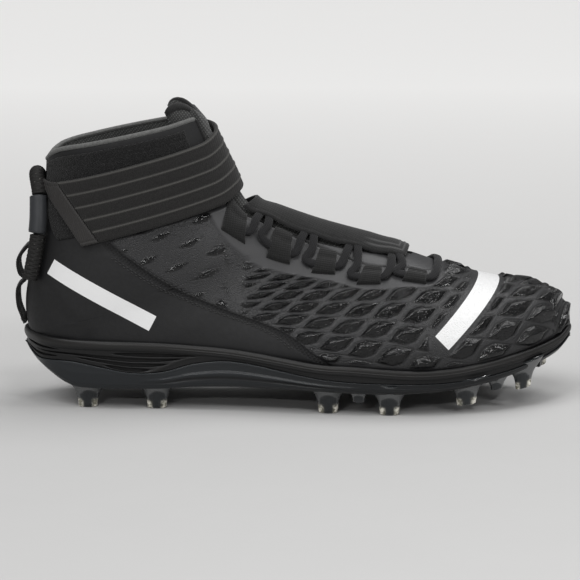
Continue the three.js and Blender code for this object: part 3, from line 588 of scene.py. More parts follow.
def skin_finish():
    """The upper: matte quarter, dotted ribs, glossy scales, stitched seam and white bars."""
    f = Finish(
        "upper_skin", (0.0042, 0.0042, 0.0048), 0.62, vary=0.12, grain=2.5, Specular_IOR_Level=0.42
    )
    tree = f.tree
    f.bump(noise(tree, 0.8), 0.06)
    ribs = attribute(tree, "ribs")
    dots = ramp(tree, cells(tree, 0.8), 0.15, 0.5)
    f.paint(ribs, (0.0115, 0.0115, 0.0125), 0.42)
    pale = math_node(tree, "MULTIPLY", ribs, math_node(tree, "MULTIPLY", dots, 0.4))
    f.paint(pale, (0.030, 0.030, 0.031))
    f.bump(math_node(tree, "MULTIPLY", ribs, dots), 0.16)
    f.paint(attribute(tree, "eyestay"), (0.032, 0.032, 0.0335), 0.4)
    # Painted shade: the grooves round the scales and the line along the eyestay are painted darker, as
    # shade in these recesses.
    f.paint(attribute(tree, "shaded_groove"), (0.006, 0.006, 0.006), 0.7)
    f.paint(attribute(tree, "scales"), (0.0022, 0.0022, 0.0025), 0.05)
    seam = attribute(tree, "seam")
    f.paint(seam, (0.010, 0.010, 0.0105), 0.85)
    f.bump(math_node(tree, "MULTIPLY", seam, weave(tree, 1.6, 0.6)), 0.4)
    bars = math_node(tree, "MAXIMUM", bar_factor(tree, **HEEL_BAR), bar_factor(tree, **TOE_BAND))
    f.paint(bars, (0.78, 0.78, 0.78), 0.35)
    return f.done()


def cloth_finish(name, colour, pitch, depth, slant=0.0, light=None, roughness=0.9, grain=1.2):
    f = Finish(name, colour, roughness, vary=0.18, grain=grain, Sheen_Weight=0.15)
    threads = weave(f.tree, pitch, slant)
    f.bump(threads, depth)
    f.bump(noise(f.tree, 0.35), 0.05)
    if light:
        f.paint(ramp(f.tree, threads, 0.35, 0.8), light)
    return f


def lining_finish():
    """Twill mesh: slanted lines of small lighter dots."""
    f = Finish("lining_mesh", (0.028, 0.0285, 0.028), 0.95, vary=0.15, grain=2.0, Sheen_Weight=0.2)
    twill = bands(f.tree, 1.5, (0, -0.75, 0))
    across = bands(f.tree, 1.1, (0, 0.62, 0))
    both = math_node(f.tree, "MULTIPLY", twill, across)
    f.paint(ramp(f.tree, both, 0.3, 0.8), (0.075, 0.077, 0.073))
    f.bump(both, 0.3)
    return f.done()


def strap_finish():
    f = Finish("strap_cloth", (0.0115, 0.011, 0.0105), 0.85, vary=0.15, grain=0.9, Sheen_Weight=0.1)
    ribs = bands(f.tree, 1.0, (0, -0.26, 0))
    f.bump(ribs, 0.12)
    f.bump(noise(f.tree, 0.5), 0.08)
    f.paint(attribute(f.tree, "lines"), (0.062, 0.060, 0.056), 0.7)
    f.paint(attribute(f.tree, "tab"), (0.023, 0.0215, 0.0205), 0.5)
    return f.done()


def pile_finish():
    """Fuzzy fastening panel."""
    f = Finish("panel_pile", (0.006, 0.006, 0.006), 1.0, vary=0.4, grain=0.8, Sheen_Weight=0.1)
    fuzz = cells(f.tree, 0.7)
    f.bump(fuzz, 0.5)
    f.bump(noise(f.tree, 0.3, 4), 0.3)
    tufts = ramp(f.tree, noise(f.tree, 0.6), 0.52, 0.75)
    f.paint(math_node(f.tree, "MULTIPLY", tufts, 0.5), (0.05, 0.05, 0.05))
    return f.done()


def rope_finish():
    f = Finish("rope_braid", (0.010, 0.0095, 0.009), 0.7, vary=0.3, grain=0.8)
    f.paint(ramp(f.tree, noise(f.tree, 1.6, 1.0), 0.68, 0.75), (0.11, 0.105, 0.095), 0.5)
    f.bump(noise(f.tree, 0.4), 0.08)
    return f.done()


def lace_finish():
    f = Finish("lace_braid", (0.0052, 0.0052, 0.006), 0.85, vary=0.2, grain=0.7, Sheen_Weight=0.12)
    f.bump(weave(f.tree, 0.9, 0.5), 0.15)
    return f.done()


def rubber_finish(name, colour, roughness):
    f = Finish(name, colour, roughness, vary=0.06, grain=3.0)
    f.bump(noise(f.tree, 0.7), 0.03)
    return f


def sole_finish():
    f = rubber_finish("midsole_rubber", (0.0072, 0.0072, 0.0074), 0.42)
    # Painted shade: the slots and grooves in the midsole's wall are painted darker.
    f.paint(attribute(f.tree, "shaded_slot"), (0.003, 0.003, 0.003), 0.6)
    # Painted highlight: the ridge across the heel and the middle of the bulging rim band are painted
    # lighter.
    f.paint(attribute(f.tree, "highlit_crest"), (0.0145, 0.014, 0.0135), 0.36)
    return f.done()


def plate_finish():
    f = rubber_finish("plate_plastic", (0.0065, 0.0072, 0.0080), 0.3)
    # Partly the smoky plastic's own tone towards the heel, partly painted highlight on the plate's ridge
    # and top lip.
    f.paint(attribute(f.tree, "smoke_and_highlight"), (0.020, 0.0225, 0.025), 0.27)
    # Painted shade in the dent along the plate's wall.
    f.paint(attribute(f.tree, "shaded_slot"), (0.006, 0.006, 0.0065), 0.5)
    return f.done()


def stud_finish():
    """Smoky and slightly clear, with pale cream tips on the blades: partly the clear plastic, partly
    painted glints of light through it.
    """
    f = Finish(
        "stud_smoke", (0.012, 0.0145, 0.0165), 0.12, Specular_IOR_Level=0.5, vary=0.2, grain=2.0,
        Transmission_Weight=0.12, IOR=1.5,
    )
    tips_and_glints = attribute(f.tree, "tip_and_glint")
    spots = ramp(f.tree, noise(f.tree, 1.8, 1.0), 0.4, 0.6)
    # Painted glints: the pale spots stand in for light shining through the clear tips.
    cream_and_glint = mix_colour(f.tree, spots, (0.22, 0.21, 0.16), (0.85, 0.82, 0.72))
    f.paint(tips_and_glints, cream_and_glint, 0.16)
    return f.done()


def cover_finish():
    f = cloth_finish("cover_textile", (0.0125, 0.0125, 0.0125), 0.8, 0.15, 0.3, (0.022, 0.022, 0.022))
    f.paint(attribute(f.tree, "frame"), (0.055, 0.055, 0.055), 0.6)
    return f.done()


MATS = {
    "upper": skin_finish(),
    "lining": lining_finish(),
    "insole": cloth_finish("insole_cloth", (0.02, 0.02, 0.021), 1.4, 0.1).done(),
    "piping": cloth_finish("collar_piping", (0.11, 0.111, 0.108), 0.8, 0.12, 0.4, roughness=0.75).done(),
    "binding": cloth_finish("edge_binding", (0.009, 0.009, 0.009), 0.8, 0.12, 0.4).done(),
    "webbing": cloth_finish(
        "webbing_tape", (0.0058, 0.0058, 0.0058), 0.9, 0.2, 0.1, (0.011, 0.011, 0.0105)
    ).done(),
    "cover": cover_finish(),
    "tongue": lining_finish(),
    "strap": strap_finish(),
    "panel": pile_finish(),
    "rope": rope_finish(),
    "lace": lace_finish(),
    "sleeve": rubber_finish("sleeve_rubber", (0.030, 0.032, 0.035), 0.45).done(),
    "midsole": sole_finish(),
    "plate": plate_finish(),
    "stud": stud_finish(),
    "stitch": rubber_finish("stitch_thread", (0.035, 0.035, 0.035), 0.7).done(),
}

# Meshes


def grid_faces(rows, columns, wrap=False):
    """Quads of a grid of points, row by row. A wrapped grid joins its last column to its first."""
    r = np.arange(rows - 1)[:, None]
    c = np.arange(columns if wrap else columns - 1)[None, :]
    a = r * columns + c
    b = r * columns + (c + 1) % columns
    return np.stack([a, b, b + columns, a + columns], -1).reshape(-1, 4)


def mesh_object(name, points, faces, mat, nodes=(), attributes=None):
    """A mesh from points in the shoe's frame, in mm, and a list of arrays of faces."""
    data = bpy.data.meshes.new(name)
    polygons = []
    for block in faces if isinstance(faces, list) else [faces]:
        polygons.extend(np.asarray(block).tolist())
    data.from_pydata(place(points).tolist(), [], polygons)
    for key, values in (attributes or {}).items():
        layer = data.attributes.new(key, "FLOAT", "POINT")
        layer.data.foreach_set("value", np.asarray(values, np.float32).ravel())
    data.polygons.foreach_set("use_smooth", [True] * len(data.polygons))
    data.materials.append(MATS[mat])
    data.validate()
    data.update()
    obj = bpy.data.objects.new(name, data)
    scene.collection.objects.link(obj)
    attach(obj, "root")
    if nodes:
        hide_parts(*nodes)
    return obj


def edge_round(rows, columns, reach_rows, reach_columns):
    """1 inside a grid, falling to 0 at its edges over a number of cells, as a quarter circle."""
    r = np.arange(rows)[:, None]
    c = np.arange(columns)[None, :]
    by_row = np.clip(np.minimum(r, rows - 1 - r) / reach_rows, 0, 1)
    by_column = np.clip(np.minimum(c, columns - 1 - c) / reach_columns, 0, 1)
    away = np.minimum(by_row, by_column)
    return np.sqrt(1 - (1 - away) ** 2)


def resample(points, count):
    """A smooth path through points, in equal steps."""
    points = np.asarray(points, float)
    chord = np.concatenate([[0], np.cumsum(np.linalg.norm(np.diff(points, axis=0), axis=1))])
    rows = {"t": chord, **{str(k): points[:, k] for k in range(points.shape[1])}}
    fine = np.linspace(0, chord[-1], count * 6)
    curved = np.stack([curve(rows, "t", str(k))(fine) for k in range(points.shape[1])], -1)
    length = np.concatenate([[0], np.cumsum(np.linalg.norm(np.diff(curved, axis=0), axis=1))])
    even = np.linspace(0, length[-1], count)
    return np.stack([np.interp(even, length, curved[:, k]) for k in range(points.shape[1])], -1)


def tube_faces(rows, sides):
    """Faces of a ring grid closed by a fan at each end, whose two middles come last."""
    count = rows * sides
    first = np.arange(sides)
    after = np.roll(first, -1)
    start_cap = np.stack([after, first, np.full(sides, count)], -1)
    end_cap = np.stack([first + count - sides, after + count - sides, np.full(sides, count + 1)], -1)
    return [grid_faces(rows, sides, True), start_cap, end_cap]


def join(name, pieces, mat, nodes=()):
    """Several open or closed meshes, given as points and faces, as one piece."""
    points, faces, shift = [], [], 0
    for p, blocks in pieces:
        points.append(np.asarray(p, float).reshape(-1, 3))
        faces.extend(np.asarray(b) + shift for b in blocks)
        shift += len(points[-1])
    return mesh_object(name, np.concatenate(points), faces, mat, nodes)


def cord_mesh(path, wide, thick, up, sides=14, relief=0.0, square=2.0, taper=0):
    """Points and faces of a cord along a path, oval or a rounded strip, with closed ends."""
    path = np.asarray(path, float)
    run = unit(np.gradient(path, axis=0))
    across = unit(np.cross(run, np.broadcast_to(up, path.shape)))
    high = np.cross(across, run)
    angle = 2 * np.pi * np.arange(sides) / sides
    c, s = np.cos(angle), np.sin(angle)
    c, s = np.sign(c) * np.abs(c) ** (2 / square), np.sign(s) * np.abs(s) ** (2 / square)
    size = np.ones(len(path))
    if taper:
        near = np.minimum(np.arange(len(path)), np.arange(len(path))[::-1]) / taper
        size = 0.35 + 0.65 * np.sqrt(1 - (1 - np.clip(near, 0, 1)) ** 2)
    radius_a = (wide / 2 + relief) * size[:, None]
    radius_b = (thick / 2 + relief) * size[:, None]
    rings = (
        path[:, None]
        + across[:, None] * (c * radius_a)[..., None]
        + high[:, None] * (s * radius_b)[..., None]
    )
    points = np.concatenate([rings.reshape(-1, 3), path[:1], path[-1:]])
    return points, tube_faces(len(path), sides)


def slab_mesh(outer, inner):
    """Points and faces of a closed piece between two grids of points of the same size."""
    rows, columns = outer.shape[:2]
    count = rows * columns
    index = np.arange(count).reshape(rows, columns)
    rim = np.concatenate([index[0, :-1], index[:-1, -1], index[-1, :0:-1], index[:0:-1, 0]])
    after = np.roll(rim, -1)
    faces = [
        grid_faces(rows, columns),
        grid_faces(rows, columns)[:, ::-1] + count,
        np.stack([rim, rim + count, after + count, after], -1),
    ]
    return np.concatenate([outer.reshape(-1, 3), inner.reshape(-1, 3)]), faces


def flipped(mesh, flip=True):
    points, faces = mesh
    return (points, [f[:, ::-1] for f in faces]) if flip else mesh


# Upper

UPPER_ROWS = 430
UPPER_COLUMNS = 160
LINING_ROWS = 120
LINING_COLUMNS = 60
FEATHER = 3.0
SCALE_A = np.array([21.9, 8.5])
SCALE_B = np.array([15.3, -3.9])
SCALE_ORIGIN = np.array([139.6, 38.0])
SCALE_LEAN = math.radians(23)
SCALE_HALF_LENGTH = 10.4
SCALE_HALF_WIDTH = 6.6
SCALE_TRUNCATION = 0.72
SCALE_HEIGHT = 2.2
EYESTAY = table(["x", "out"], [
    [96, 19],
    [104, 22],
    [116, 24.5],
    [140, 25],
    [165, 26.5],
    [189, 31],
    [208, 29.5],
    [222, 26],
    [231, 14],
    [236, 0.5],
])
eyestay_out = curve(EYESTAY, "x", "out")

# Soft folds of the quarter: from x, z to x, z, half width and depth, in mm
CREASES = [
    (52, 88, 86, 66, 3.4, 0.7),
    (66, 98, 98, 82, 3.0, 0.6),
    (22, 96, 52, 104, 3.2, 0.5),
    (14, 62, 36, 40, 4.0, 0.5),
    (96, 62, 128, 72, 3.6, 0.4),
]


def throat_turn(step):
    """Turn at which the throat's edge lies, on the lateral side, and 0 past its front end."""
    half = (THROAT_WIDTH / 2) * throat_half_share(step) / BALL_WIDTH
    across = np.minimum(half / last["lateral"](step), 1)
    turn = np.arcsin(across ** (last["topSquare"](step) / 2)) / (2 * np.pi)
    return np.where(step < THROAT["at"][-1], turn, 0.0)


def feather_turn(step):
    """Turn at which a section meets the sole, on either side."""
    def above(turn):
        p = form_point(step, turn)
        return p[..., 2] > side_z("rim", p[..., 0]) - FEATHER
    return halve(np.full(np.shape(step), 0.2), 0.5, above)


def from_line(x, z, start, end):
    """Distance from a straight line between two points of the side view."""
    start, end = np.array(start, float), np.array(end, float)
    p = np.stack([x, z], -1) - start
    run = end - start
    along = np.clip(p @ run / (run @ run), 0, 1)
    return np.linalg.norm(p - along[..., None] * run, axis=-1)


def scale_relief(x, q):
    """Height of the moulded scales, their mask and the groove round them, whose darker paint is painted
    shade.

    x runs along the shoe and q up its wall.
    """
    grow = smooth(84, 150, x)
    inverse = np.linalg.inv(np.stack([SCALE_A, SCALE_B], 1))
    place_at = np.stack([x, q], -1) - SCALE_ORIGIN
    base = np.floor(place_at @ inverse.T)
    far = np.full(x.shape, 9.0)
    slant = np.zeros(x.shape)
    lean = np.array([math.cos(SCALE_LEAN), math.sin(SCALE_LEAN)])
    side = np.array([-lean[1], lean[0]])
    length = SCALE_HALF_LENGTH * lerp(0.6, 1.0, grow)
    width = SCALE_HALF_WIDTH * lerp(0.3, 1.0, grow)
    for i in (0, 1):
        for j in (0, 1):
            p = place_at - (base + [i, j]) @ np.stack([SCALE_A, SCALE_B])
            u = (p @ lean) / length
            v = (p @ side) / width
            reach = np.maximum(np.abs(v) / SCALE_TRUNCATION, np.abs(u) + np.abs(v))
            slant = np.where(reach < far, v + 0.35 * u, slant)
            far = np.minimum(far, reach)
    inside = 1 - far
    mask = smooth(-0.02, 0.05, inside)
    roof = np.minimum(np.clip(inside / 0.5, 0, 1), np.clip(1.05 - np.abs(slant - 0.12) * 1.1, 0, 1))
    height = SCALE_HEIGHT * lerp(0.3, 1.0, grow) * roof
    # The groove is a dip round each scale, and also the mask of painted shade.
    shaded_groove = bell(inside, -0.05, 0.06)
    return height * mask - 0.4 * shaded_groove, mask, shaded_groove


def strap_top(x):
    """Height of the strap's upper edge on the outer side."""
    return upper_z(STRAP_LINE["z"]) + STRAP_LINE["slope"] * (x - LENGTH * STRAP_LINE["x"])


def upper_grid(side, rows, columns):
    """Sections and turns over one side of the upper, from collar to toe and from throat to sole."""
    share = np.linspace(0, 1, columns)[None, :]
    first_turn = lerp(throat_turn(np.array(1.0)), 0.5, share)

    def over_collar(step):
        p = form_point(step, first_turn)
        return p[..., 2] > upper_z(collar_z(p[..., 0] / LENGTH))

    start = halve(np.full(first_turn.shape, 0.2), 3.0, over_collar)
    even = np.linspace(0, 1, 600)
    runs = np.linalg.norm(np.diff(form_point(1 + (LAST_END - 1) * even, 0.2), axis=0), axis=1)
    along = np.concatenate([[0], np.cumsum(runs)]) / runs.sum()
    step = start + (LAST_END - start) * np.interp(np.linspace(0, 1, rows)[:, None], along, even)
    turn = lerp(throat_turn(step), feather_turn(step), share)
    return step, turn if side == "lateral" else 1 - turn


def upper_half(side):
    """One side of the upper's outer face, as a fine grid that rolls in at its edges."""
    step, turn = upper_grid(side, UPPER_ROWS, UPPER_COLUMNS)
    point = form_point(step, turn)
    x, y, z = point[..., 0], np.abs(point[..., 1]), point[..., 2]
    lower = point[:, ::-1]
    runs = np.linalg.norm(np.diff(lower, axis=1, prepend=lower[:, :1]), axis=2)
    arc = np.cumsum(runs, axis=1)[:, ::-1]
    height_up = arc + (lower[:, :1, 2] - STUD_HEIGHT) * 0.9
    change = smooth(109, 123, x)
    strain = 4 * change * (1 - change) * smooth(2.5, 6, np.abs(height_up - z + STUD_HEIGHT))
    height_up = lerp(z - STUD_HEIGHT, height_up, change)
    up = (z - STUD_HEIGHT) / UPPER_RISE
    from_seam = x - LENGTH * seam_x(up)
    under_strap = strap_top(x) - STRAP_WIDTH - 1.5 - z
    over_rim = z - side_z("rim", x)
    below_strap = smooth(-1.0, 0.5, under_strap)
    skin = smooth(3.2, 4.4, from_seam) * below_strap
    seam = bell(from_seam, 0.6, 2.9) * below_strap * smooth(-0.5, 1.5, over_rim)
    stay = smooth(-0.7, 0.7, eyestay_out(x) - y) * smooth(98, 101, x)
    stay = stay * (1 - smooth(228, 231, x)) * below_strap
    # The line along the eyestay is a dip that is also painted darker as shade.
    shaded_stay_line = bell(y, eyestay_out(x) - 13.5, 0.5) * smooth(104, 108, x) * (1 - smooth(214, 220, x))
    from_band = from_line(x, z, TOE_BAND["start"], TOE_BAND["end"])
    near_band = smooth(-1.0, 1.2, TOE_BAND["half"] + 3.0 - from_band)
    relief, mask, shaded_groove = scale_relief(x, height_up)
    keep = skin * (1 - stay) * (1 - near_band) * smooth(1.5, 3.5, over_rim) * smooth(4.5, 7.0, from_seam)
    keep = keep * (1 - np.clip(1.3 * strain, 0, 1))
    offset = SKIN_STEP * skin + relief * keep + 0.4 * stay - 0.5 * shaded_stay_line * stay
    offset += 0.25 * bell(y, eyestay_out(x) - 12.3, 0.6) * stay
    offset += -0.45 * bell(from_seam, -2.2, 0.5) * seam - 0.45 * bell(from_seam, 2.6, 0.5) * seam
    for x0, z0, x1, z1, wide, deep in CREASES:
        offset -= deep * bell(from_line(x, z, (x0, z0), (x1, z1)), 0, wide) * (1 - skin)
        beside = from_line(x, z, (x0 + 1, z0 + 6), (x1 + 1, z1 + 6))
        offset += 0.5 * deep * bell(beside, 0, wide) * (1 - skin)
    roll = np.zeros(step.shape)
    roll[:, 0] = -WALL
    roll[:, 1] = -0.4
    roll[(step[:, 0] > THROAT["at"][-1] + 0.05), :2] = 0
    roll[0] = -WALL
    roll[1] = np.minimum(roll[1], -0.4)
    attributes = {
        "ribs": skin * (1 - stay),
        "scales": mask * keep,
        "shaded_groove": np.clip(shaded_groove * keep + shaded_stay_line * stay * 1.2, 0, 1),
        "eyestay": stay,
        "seam": seam * (1 - skin * 0.6),
    }
    points = off_form(step, turn, offset + roll)
    toe_y = BALL_WIDTH * last["centre"](LAST_END)
    toe = [[LENGTH * TOE_TIP["x"] + SKIN_STEP, toe_y, upper_z(TOE_TIP["z"])]]
    count = UPPER_ROWS * UPPER_COLUMNS
    end = np.arange(count - UPPER_COLUMNS, count - 1)
    fan = np.stack([end, end + 1, np.full(len(end), count)], -1)
    faces = [grid_faces(UPPER_ROWS, UPPER_COLUMNS), fan]
    if side == "lateral":
        faces = [f[:, ::-1] for f in faces]
    attributes = {k: np.append(v.ravel(), 0) for k, v in attributes.items()}
    points = np.concatenate([points.reshape(-1, 3), toe])
    mesh_object(f"upper_{side}", points, faces, "upper", ["upper"], attributes)
    inner_step, inner_turn = upper_grid(side, LINING_ROWS, LINING_COLUMNS)
    deep = np.full(inner_step.shape, -WALL)
    deep[0] = -0.9
    lining = off_form(inner_step, inner_turn, deep)
    inner_faces = grid_faces(LINING_ROWS, LINING_COLUMNS)
    if side == "medial":
        inner_faces = inner_faces[:, ::-1]
    mesh_object(f"lining_{side}", lining.reshape(-1, 3), inner_faces, "lining")
    edge = off_form(step[0], turn[0], np.full(UPPER_COLUMNS, -0.7))
    throat = step[:, 0] < THROAT["at"][-1] - 0.1
    return edge, off_form(step[throat, 0], turn[throat, 0], np.full(throat.sum(), -0.6))


collar_line = {}
throat_line = {}
for side_name in ("lateral", "medial"):
    collar_line[side_name], throat_line[side_name] = upper_half(side_name)

# Binding and piping

PIPING = 2.6
BINDING_WIDTH = 1.8
BINDING_HEIGHT = 2.6
piping_path = np.concatenate([collar_line["lateral"], collar_line["medial"][::-1][1:]])
piping = cord_mesh(resample(piping_path[::6], 320), PIPING, PIPING, (0, 0, 1), 12, taper=3)
join("collar_piping", [piping], "piping")
bindings = [
    cord_mesh(resample(line[::6], 160), BINDING_WIDTH, BINDING_HEIGHT, (0, 0, 1), 10, taper=3)
    for line in throat_line.values()
]
join("throat_binding", bindings, "binding")


# Tongue and insole

def tongue():
    rows, columns = 150, 44
    share = np.linspace(-1, 1, columns)[None, :]

    def lap(step):
        return (THROAT_WIDTH / 2) * throat_half_share(np.minimum(step, 13)) + TONGUE_LAP

    def over_top(step):
        p = form_point(step, turn_at_y(step, share * lap(step)))
        return p[..., 2] > upper_z(tongue_top_z(p[..., 0] / LENGTH))

    start = halve(np.zeros(share.shape), 3.0, over_top)
    step = start + (15.6 - start) * np.linspace(0, 1, rows)[:, None] ** 1.15
    y = share * lap(step)
    turn = turn_at_y(step, y)
    half = (THROAT_WIDTH / 2) * throat_half_share(np.minimum(step, 14.6))
    proud = 1 - smooth(-1.6, 0.4, np.abs(y) - half + 1.4)
    round_edge = edge_round(rows, columns, 6, 4)
    outer = lerp(-2.6, -0.4, proud) - 2.2 * (1 - round_edge)
    quilting = 0.35 * np.abs(np.sin(np.pi * (step - 1) / 0.9)) * proud
    inner = np.full(outer.shape, -7.3) + 2.0 * (1 - round_edge)
    pieces = slab_mesh(off_form(step, turn, outer + quilting * round_edge), off_form(step, turn, inner))
    piece = join("tongue_pad", [flipped(pieces)], "tongue", ["tongue"])
    edge = off_form(step[1], turn[1], np.full(columns, -3.9))
    outward = unit(form_normal(step[1], turn[1]).mean(0))
    across = cord_mesh(resample(edge, 90), 4.6, 3.2, outward, 16, taper=5)
    join("tongue_edge", [across], "binding")


INSOLE_INSET = 6.5
INSOLE_THICK = 3.4


def insole():
    rows, columns = 120, 30
    x = np.linspace(8, LENGTH - 12, rows)[:, None]
    share = np.linspace(-1, 1, columns)[None, :]
    turn = outline_angle(x / LENGTH)
    low = BALL_WIDTH * outline_side["lateral"](turn) + INSOLE_INSET
    high = BALL_WIDTH * outline_side["medial"](turn) - INSOLE_INSET
    y = lerp(low, high, (share + 1) / 2)
    step = halve(np.full(x.shape, 7.9), LAST_END, lambda s: LENGTH * last["backX"](s) < x)
    base = upper_z(last["backZ"](step))
    cup = 2.4 * np.abs(share) ** 4 + 1.6 * smooth(40, 10, x) * np.abs(share) ** 2
    top = np.stack(np.broadcast_arrays(x, y, base + 3.7 + cup - 0.8 * bell(share, 0, 0.5)), -1)
    under = top - [0, 0, INSOLE_THICK]
    join("insole_bed", [slab_mesh(top, under)], "insole", ["insole"])


tongue()
insole()

# Strap and fastening panel

STRAP_INNER = PANEL + 2 * GAP
CLIMB = table(["y", "climb"], [
    [-0.6, 0], [-0.17, 0], [-0.08, 0.25], [0, 0.5], [0.08, 0.75], [0.17, 1], [0.6, 1],
])
climb_of = curve(CLIMB, "y", "climb")
STRAP_LINES = (1.0, 8.4, 15.8, 23.2, 30.4)
STRAP_LINE_PITCH = 7.4
STRAP_END_TOP = 0.044
STRAP_END_BOTTOM = 0.117
STRAP_ANCHOR = 0.15


def strap_step(turn, drop):
    """Section at which the strap's course lies at a turn and a distance below its top edge."""
    def over(step):
        p = form_point(step, turn)
        line = strap_top(p[..., 0]) + STRAP_CLIMB * climb_of(p[..., 1] / BALL_WIDTH) - drop
        return p[..., 2] > line
    return halve(np.full(np.broadcast(turn, drop).shape, 0.0), 12.0, over, 26)


def strap_turn(drop, end_x, side):
    """Turn at which the strap's course reaches x on one side."""
    def ahead(turn):
        signed = turn if side == "lateral" else -turn
        return form_point(strap_step(signed, drop), signed)[..., 0] > end_x
    turn = halve(np.full(drop.shape, 0.12), 0.495, ahead, 22)
    return turn if side == "lateral" else -turn


def strap_piece(name, columns, from_turn, to_turn, node_name, tab):
    rows = 110
    drop = np.linspace(0, STRAP_WIDTH, rows)[:, None]
    share = np.linspace(0, 1, columns)[None, :]
    turn = lerp(from_turn(drop), to_turn(drop), share)
    step = strap_step(turn, drop)
    point = form_point(step, turn)
    round_edge = edge_round(rows, columns, 3, 3)
    band = 0 if tab else 1
    lines = sum(bell(drop, d, 0.55) for d in STRAP_LINES) * band * np.ones(step.shape)
    puff = 0.25 * np.abs(np.sin(np.pi * (drop - STRAP_LINES[0]) / STRAP_LINE_PITCH)) * band
    outer = STRAP_INNER + STRAP - 0.35 + 0.55 * lines + puff - 0.9 * (1 - round_edge)
    if tab:
        outer = outer - 0.35 * bell(drop, 2.0, 0.4) - 0.35 * bell(drop, STRAP_WIDTH - 2.0, 0.4)
    wave = 0.5 * np.sin(point[..., 0] / 13.0) * smooth(20, 36, drop) * band
    inner = STRAP_INNER + 0.1 + 0.5 * (1 - round_edge)
    mesh = slab_mesh(off_form(step, turn, outer + wave * 0.6), off_form(step, turn, inner))
    points, faces = flipped(mesh)
    both = {"lines": np.tile(lines.ravel(), 2), "tab": np.full(len(points), float(tab))}
    return mesh_object(name, points, faces, "strap", [node_name], both)


def outer_end(extra):
    def at(drop):
        end = LENGTH * lerp(STRAP_END_TOP, STRAP_END_BOTTOM, drop / STRAP_WIDTH) + extra
        return strap_turn(drop, end, "lateral")
    return at


strap_piece("strap_tab_end", 24, outer_end(0.0), outer_end(STRAP_TAB), "strap_tab", True)
strap_piece(
    "strap_band", 300, outer_end(STRAP_TAB + GAP),
    lambda d: strap_turn(d, LENGTH * STRAP_ANCHOR + 0 * d, "medial"),
    "ankle_strap", False,
)


def fastening_panel():
    """Fuzzy panel under the strap, up to just below the collar."""
    rows, columns = 90, 130
    share_down = np.linspace(0, 1, rows)[:, None]
    share = np.linspace(0, 1, columns)[None, :]

    front_turn = strap_turn(np.zeros((1, 1)), LENGTH * 0.335, "lateral")
    rear_turn = strap_turn(np.zeros((1, 1)), LENGTH * 0.05, "lateral")
    turn = lerp(rear_turn, front_turn, share) * np.ones((rows, 1))

    def over_rim(step):
        p = form_point(step, turn[:1])
        return p[..., 2] > upper_z(collar_z(p[..., 0] / LENGTH)) - 4
    top_step = halve(np.full((1, columns), 0.0), 6.0, over_rim)
    low_drop = np.full((1, columns), STRAP_WIDTH - 6.0) - 20 * (1 - smooth(0, 0.25, share))
    low_step = strap_step(turn[:1], low_drop)
    step = lerp(top_step, low_step, share_down)
    round_edge = edge_round(rows, columns, 3, 3)
    fuzz = 0.16 * rng.random(step.shape)
    middle = bell(share_down, 0.12, 0.012)
    outer = GAP + PANEL - 0.1 + fuzz - 0.6 * (1 - round_edge) - 0.25 * middle
    inner = np.full(step.shape, GAP)
    mesh = flipped(slab_mesh(off_form(step, turn, outer), off_form(step, turn, inner)))
    join("panel_pile", [mesh], "panel", ["fastening_panel"])


fastening_panel()

# Lacing


def tunnel_plan(i):
    x = LACE_START + LACE_PITCH * i
    outer, inner = x - TUNNEL_LEAN, x + TUNNEL_LEAN
    out = BALL_WIDTH * TUNNELS["out"][i]
    return {
        "x": x,
        "out": out,
        "within": out - TUNNEL_REACH,
        "crossing": x + LACE_PITCH * TUNNELS["crossing"][i],
        "rear": (outer - TUNNEL_LENGTH / 2, inner - TUNNEL_TOP / 2),
        "front": (outer + TUNNEL_LENGTH / 2, inner + TUNNEL_TOP / 2),
    }


LACE_CENTRE = SKIN_STEP + 2 * GAP + LACE_THICK / 2
LACE_BESIDE = LACE_WIDTH / 2 + 7 * GAP
EYESTAY_TOP = SKIN_STEP + 0.4
LACE_SPOTS = 120
LACE_SIDES = 18
LACE_TUCK = 3.4


def tunnel(i, side):
    """A folded loop of webbing: a flat tape whose lower fold holds the lace."""
    plan = tunnel_plan(i)
    outward = -1 if side == "lateral" else 1
    rows, columns = 36, 26
    v = np.linspace(0, 1, rows)[:, None]
    u = np.linspace(0, 1, columns)[None, :]
    y = outward * lerp(plan["out"], plan["within"] - 1.5, v)
    rear, front = plan["rear"], plan["front"]
    x = lerp(lerp(rear[0], rear[1], v), lerp(front[0], front[1], v), u)
    round_edge = edge_round(rows, columns, 3, 2)
    fold = bell(v, 0.3, 0.26)
    top = 1.4 + 1.4 * round_edge + 1.2 * fold * round_edge - 0.9 * smooth(0.75, 1.0, v)
    top += -0.3 * bell(v, 0.56, 0.018) - 0.3 * bell(v, 0.64, 0.018)
    ribs = 0.06 * np.sin(u * np.pi * 22)
    outer, _ = on_top(x, y, top + ribs)
    inner, _ = on_top(x, y, np.full(x.shape, EYESTAY_TOP - 0.5))
    mesh = flipped(slab_mesh(outer, inner), side == "medial")
    node_name = f"lace_tunnel_{side}_{i + 1}"
    join(f"webbing_loop_{side}_{i + 1}", [mesh], "webbing", [node_name])


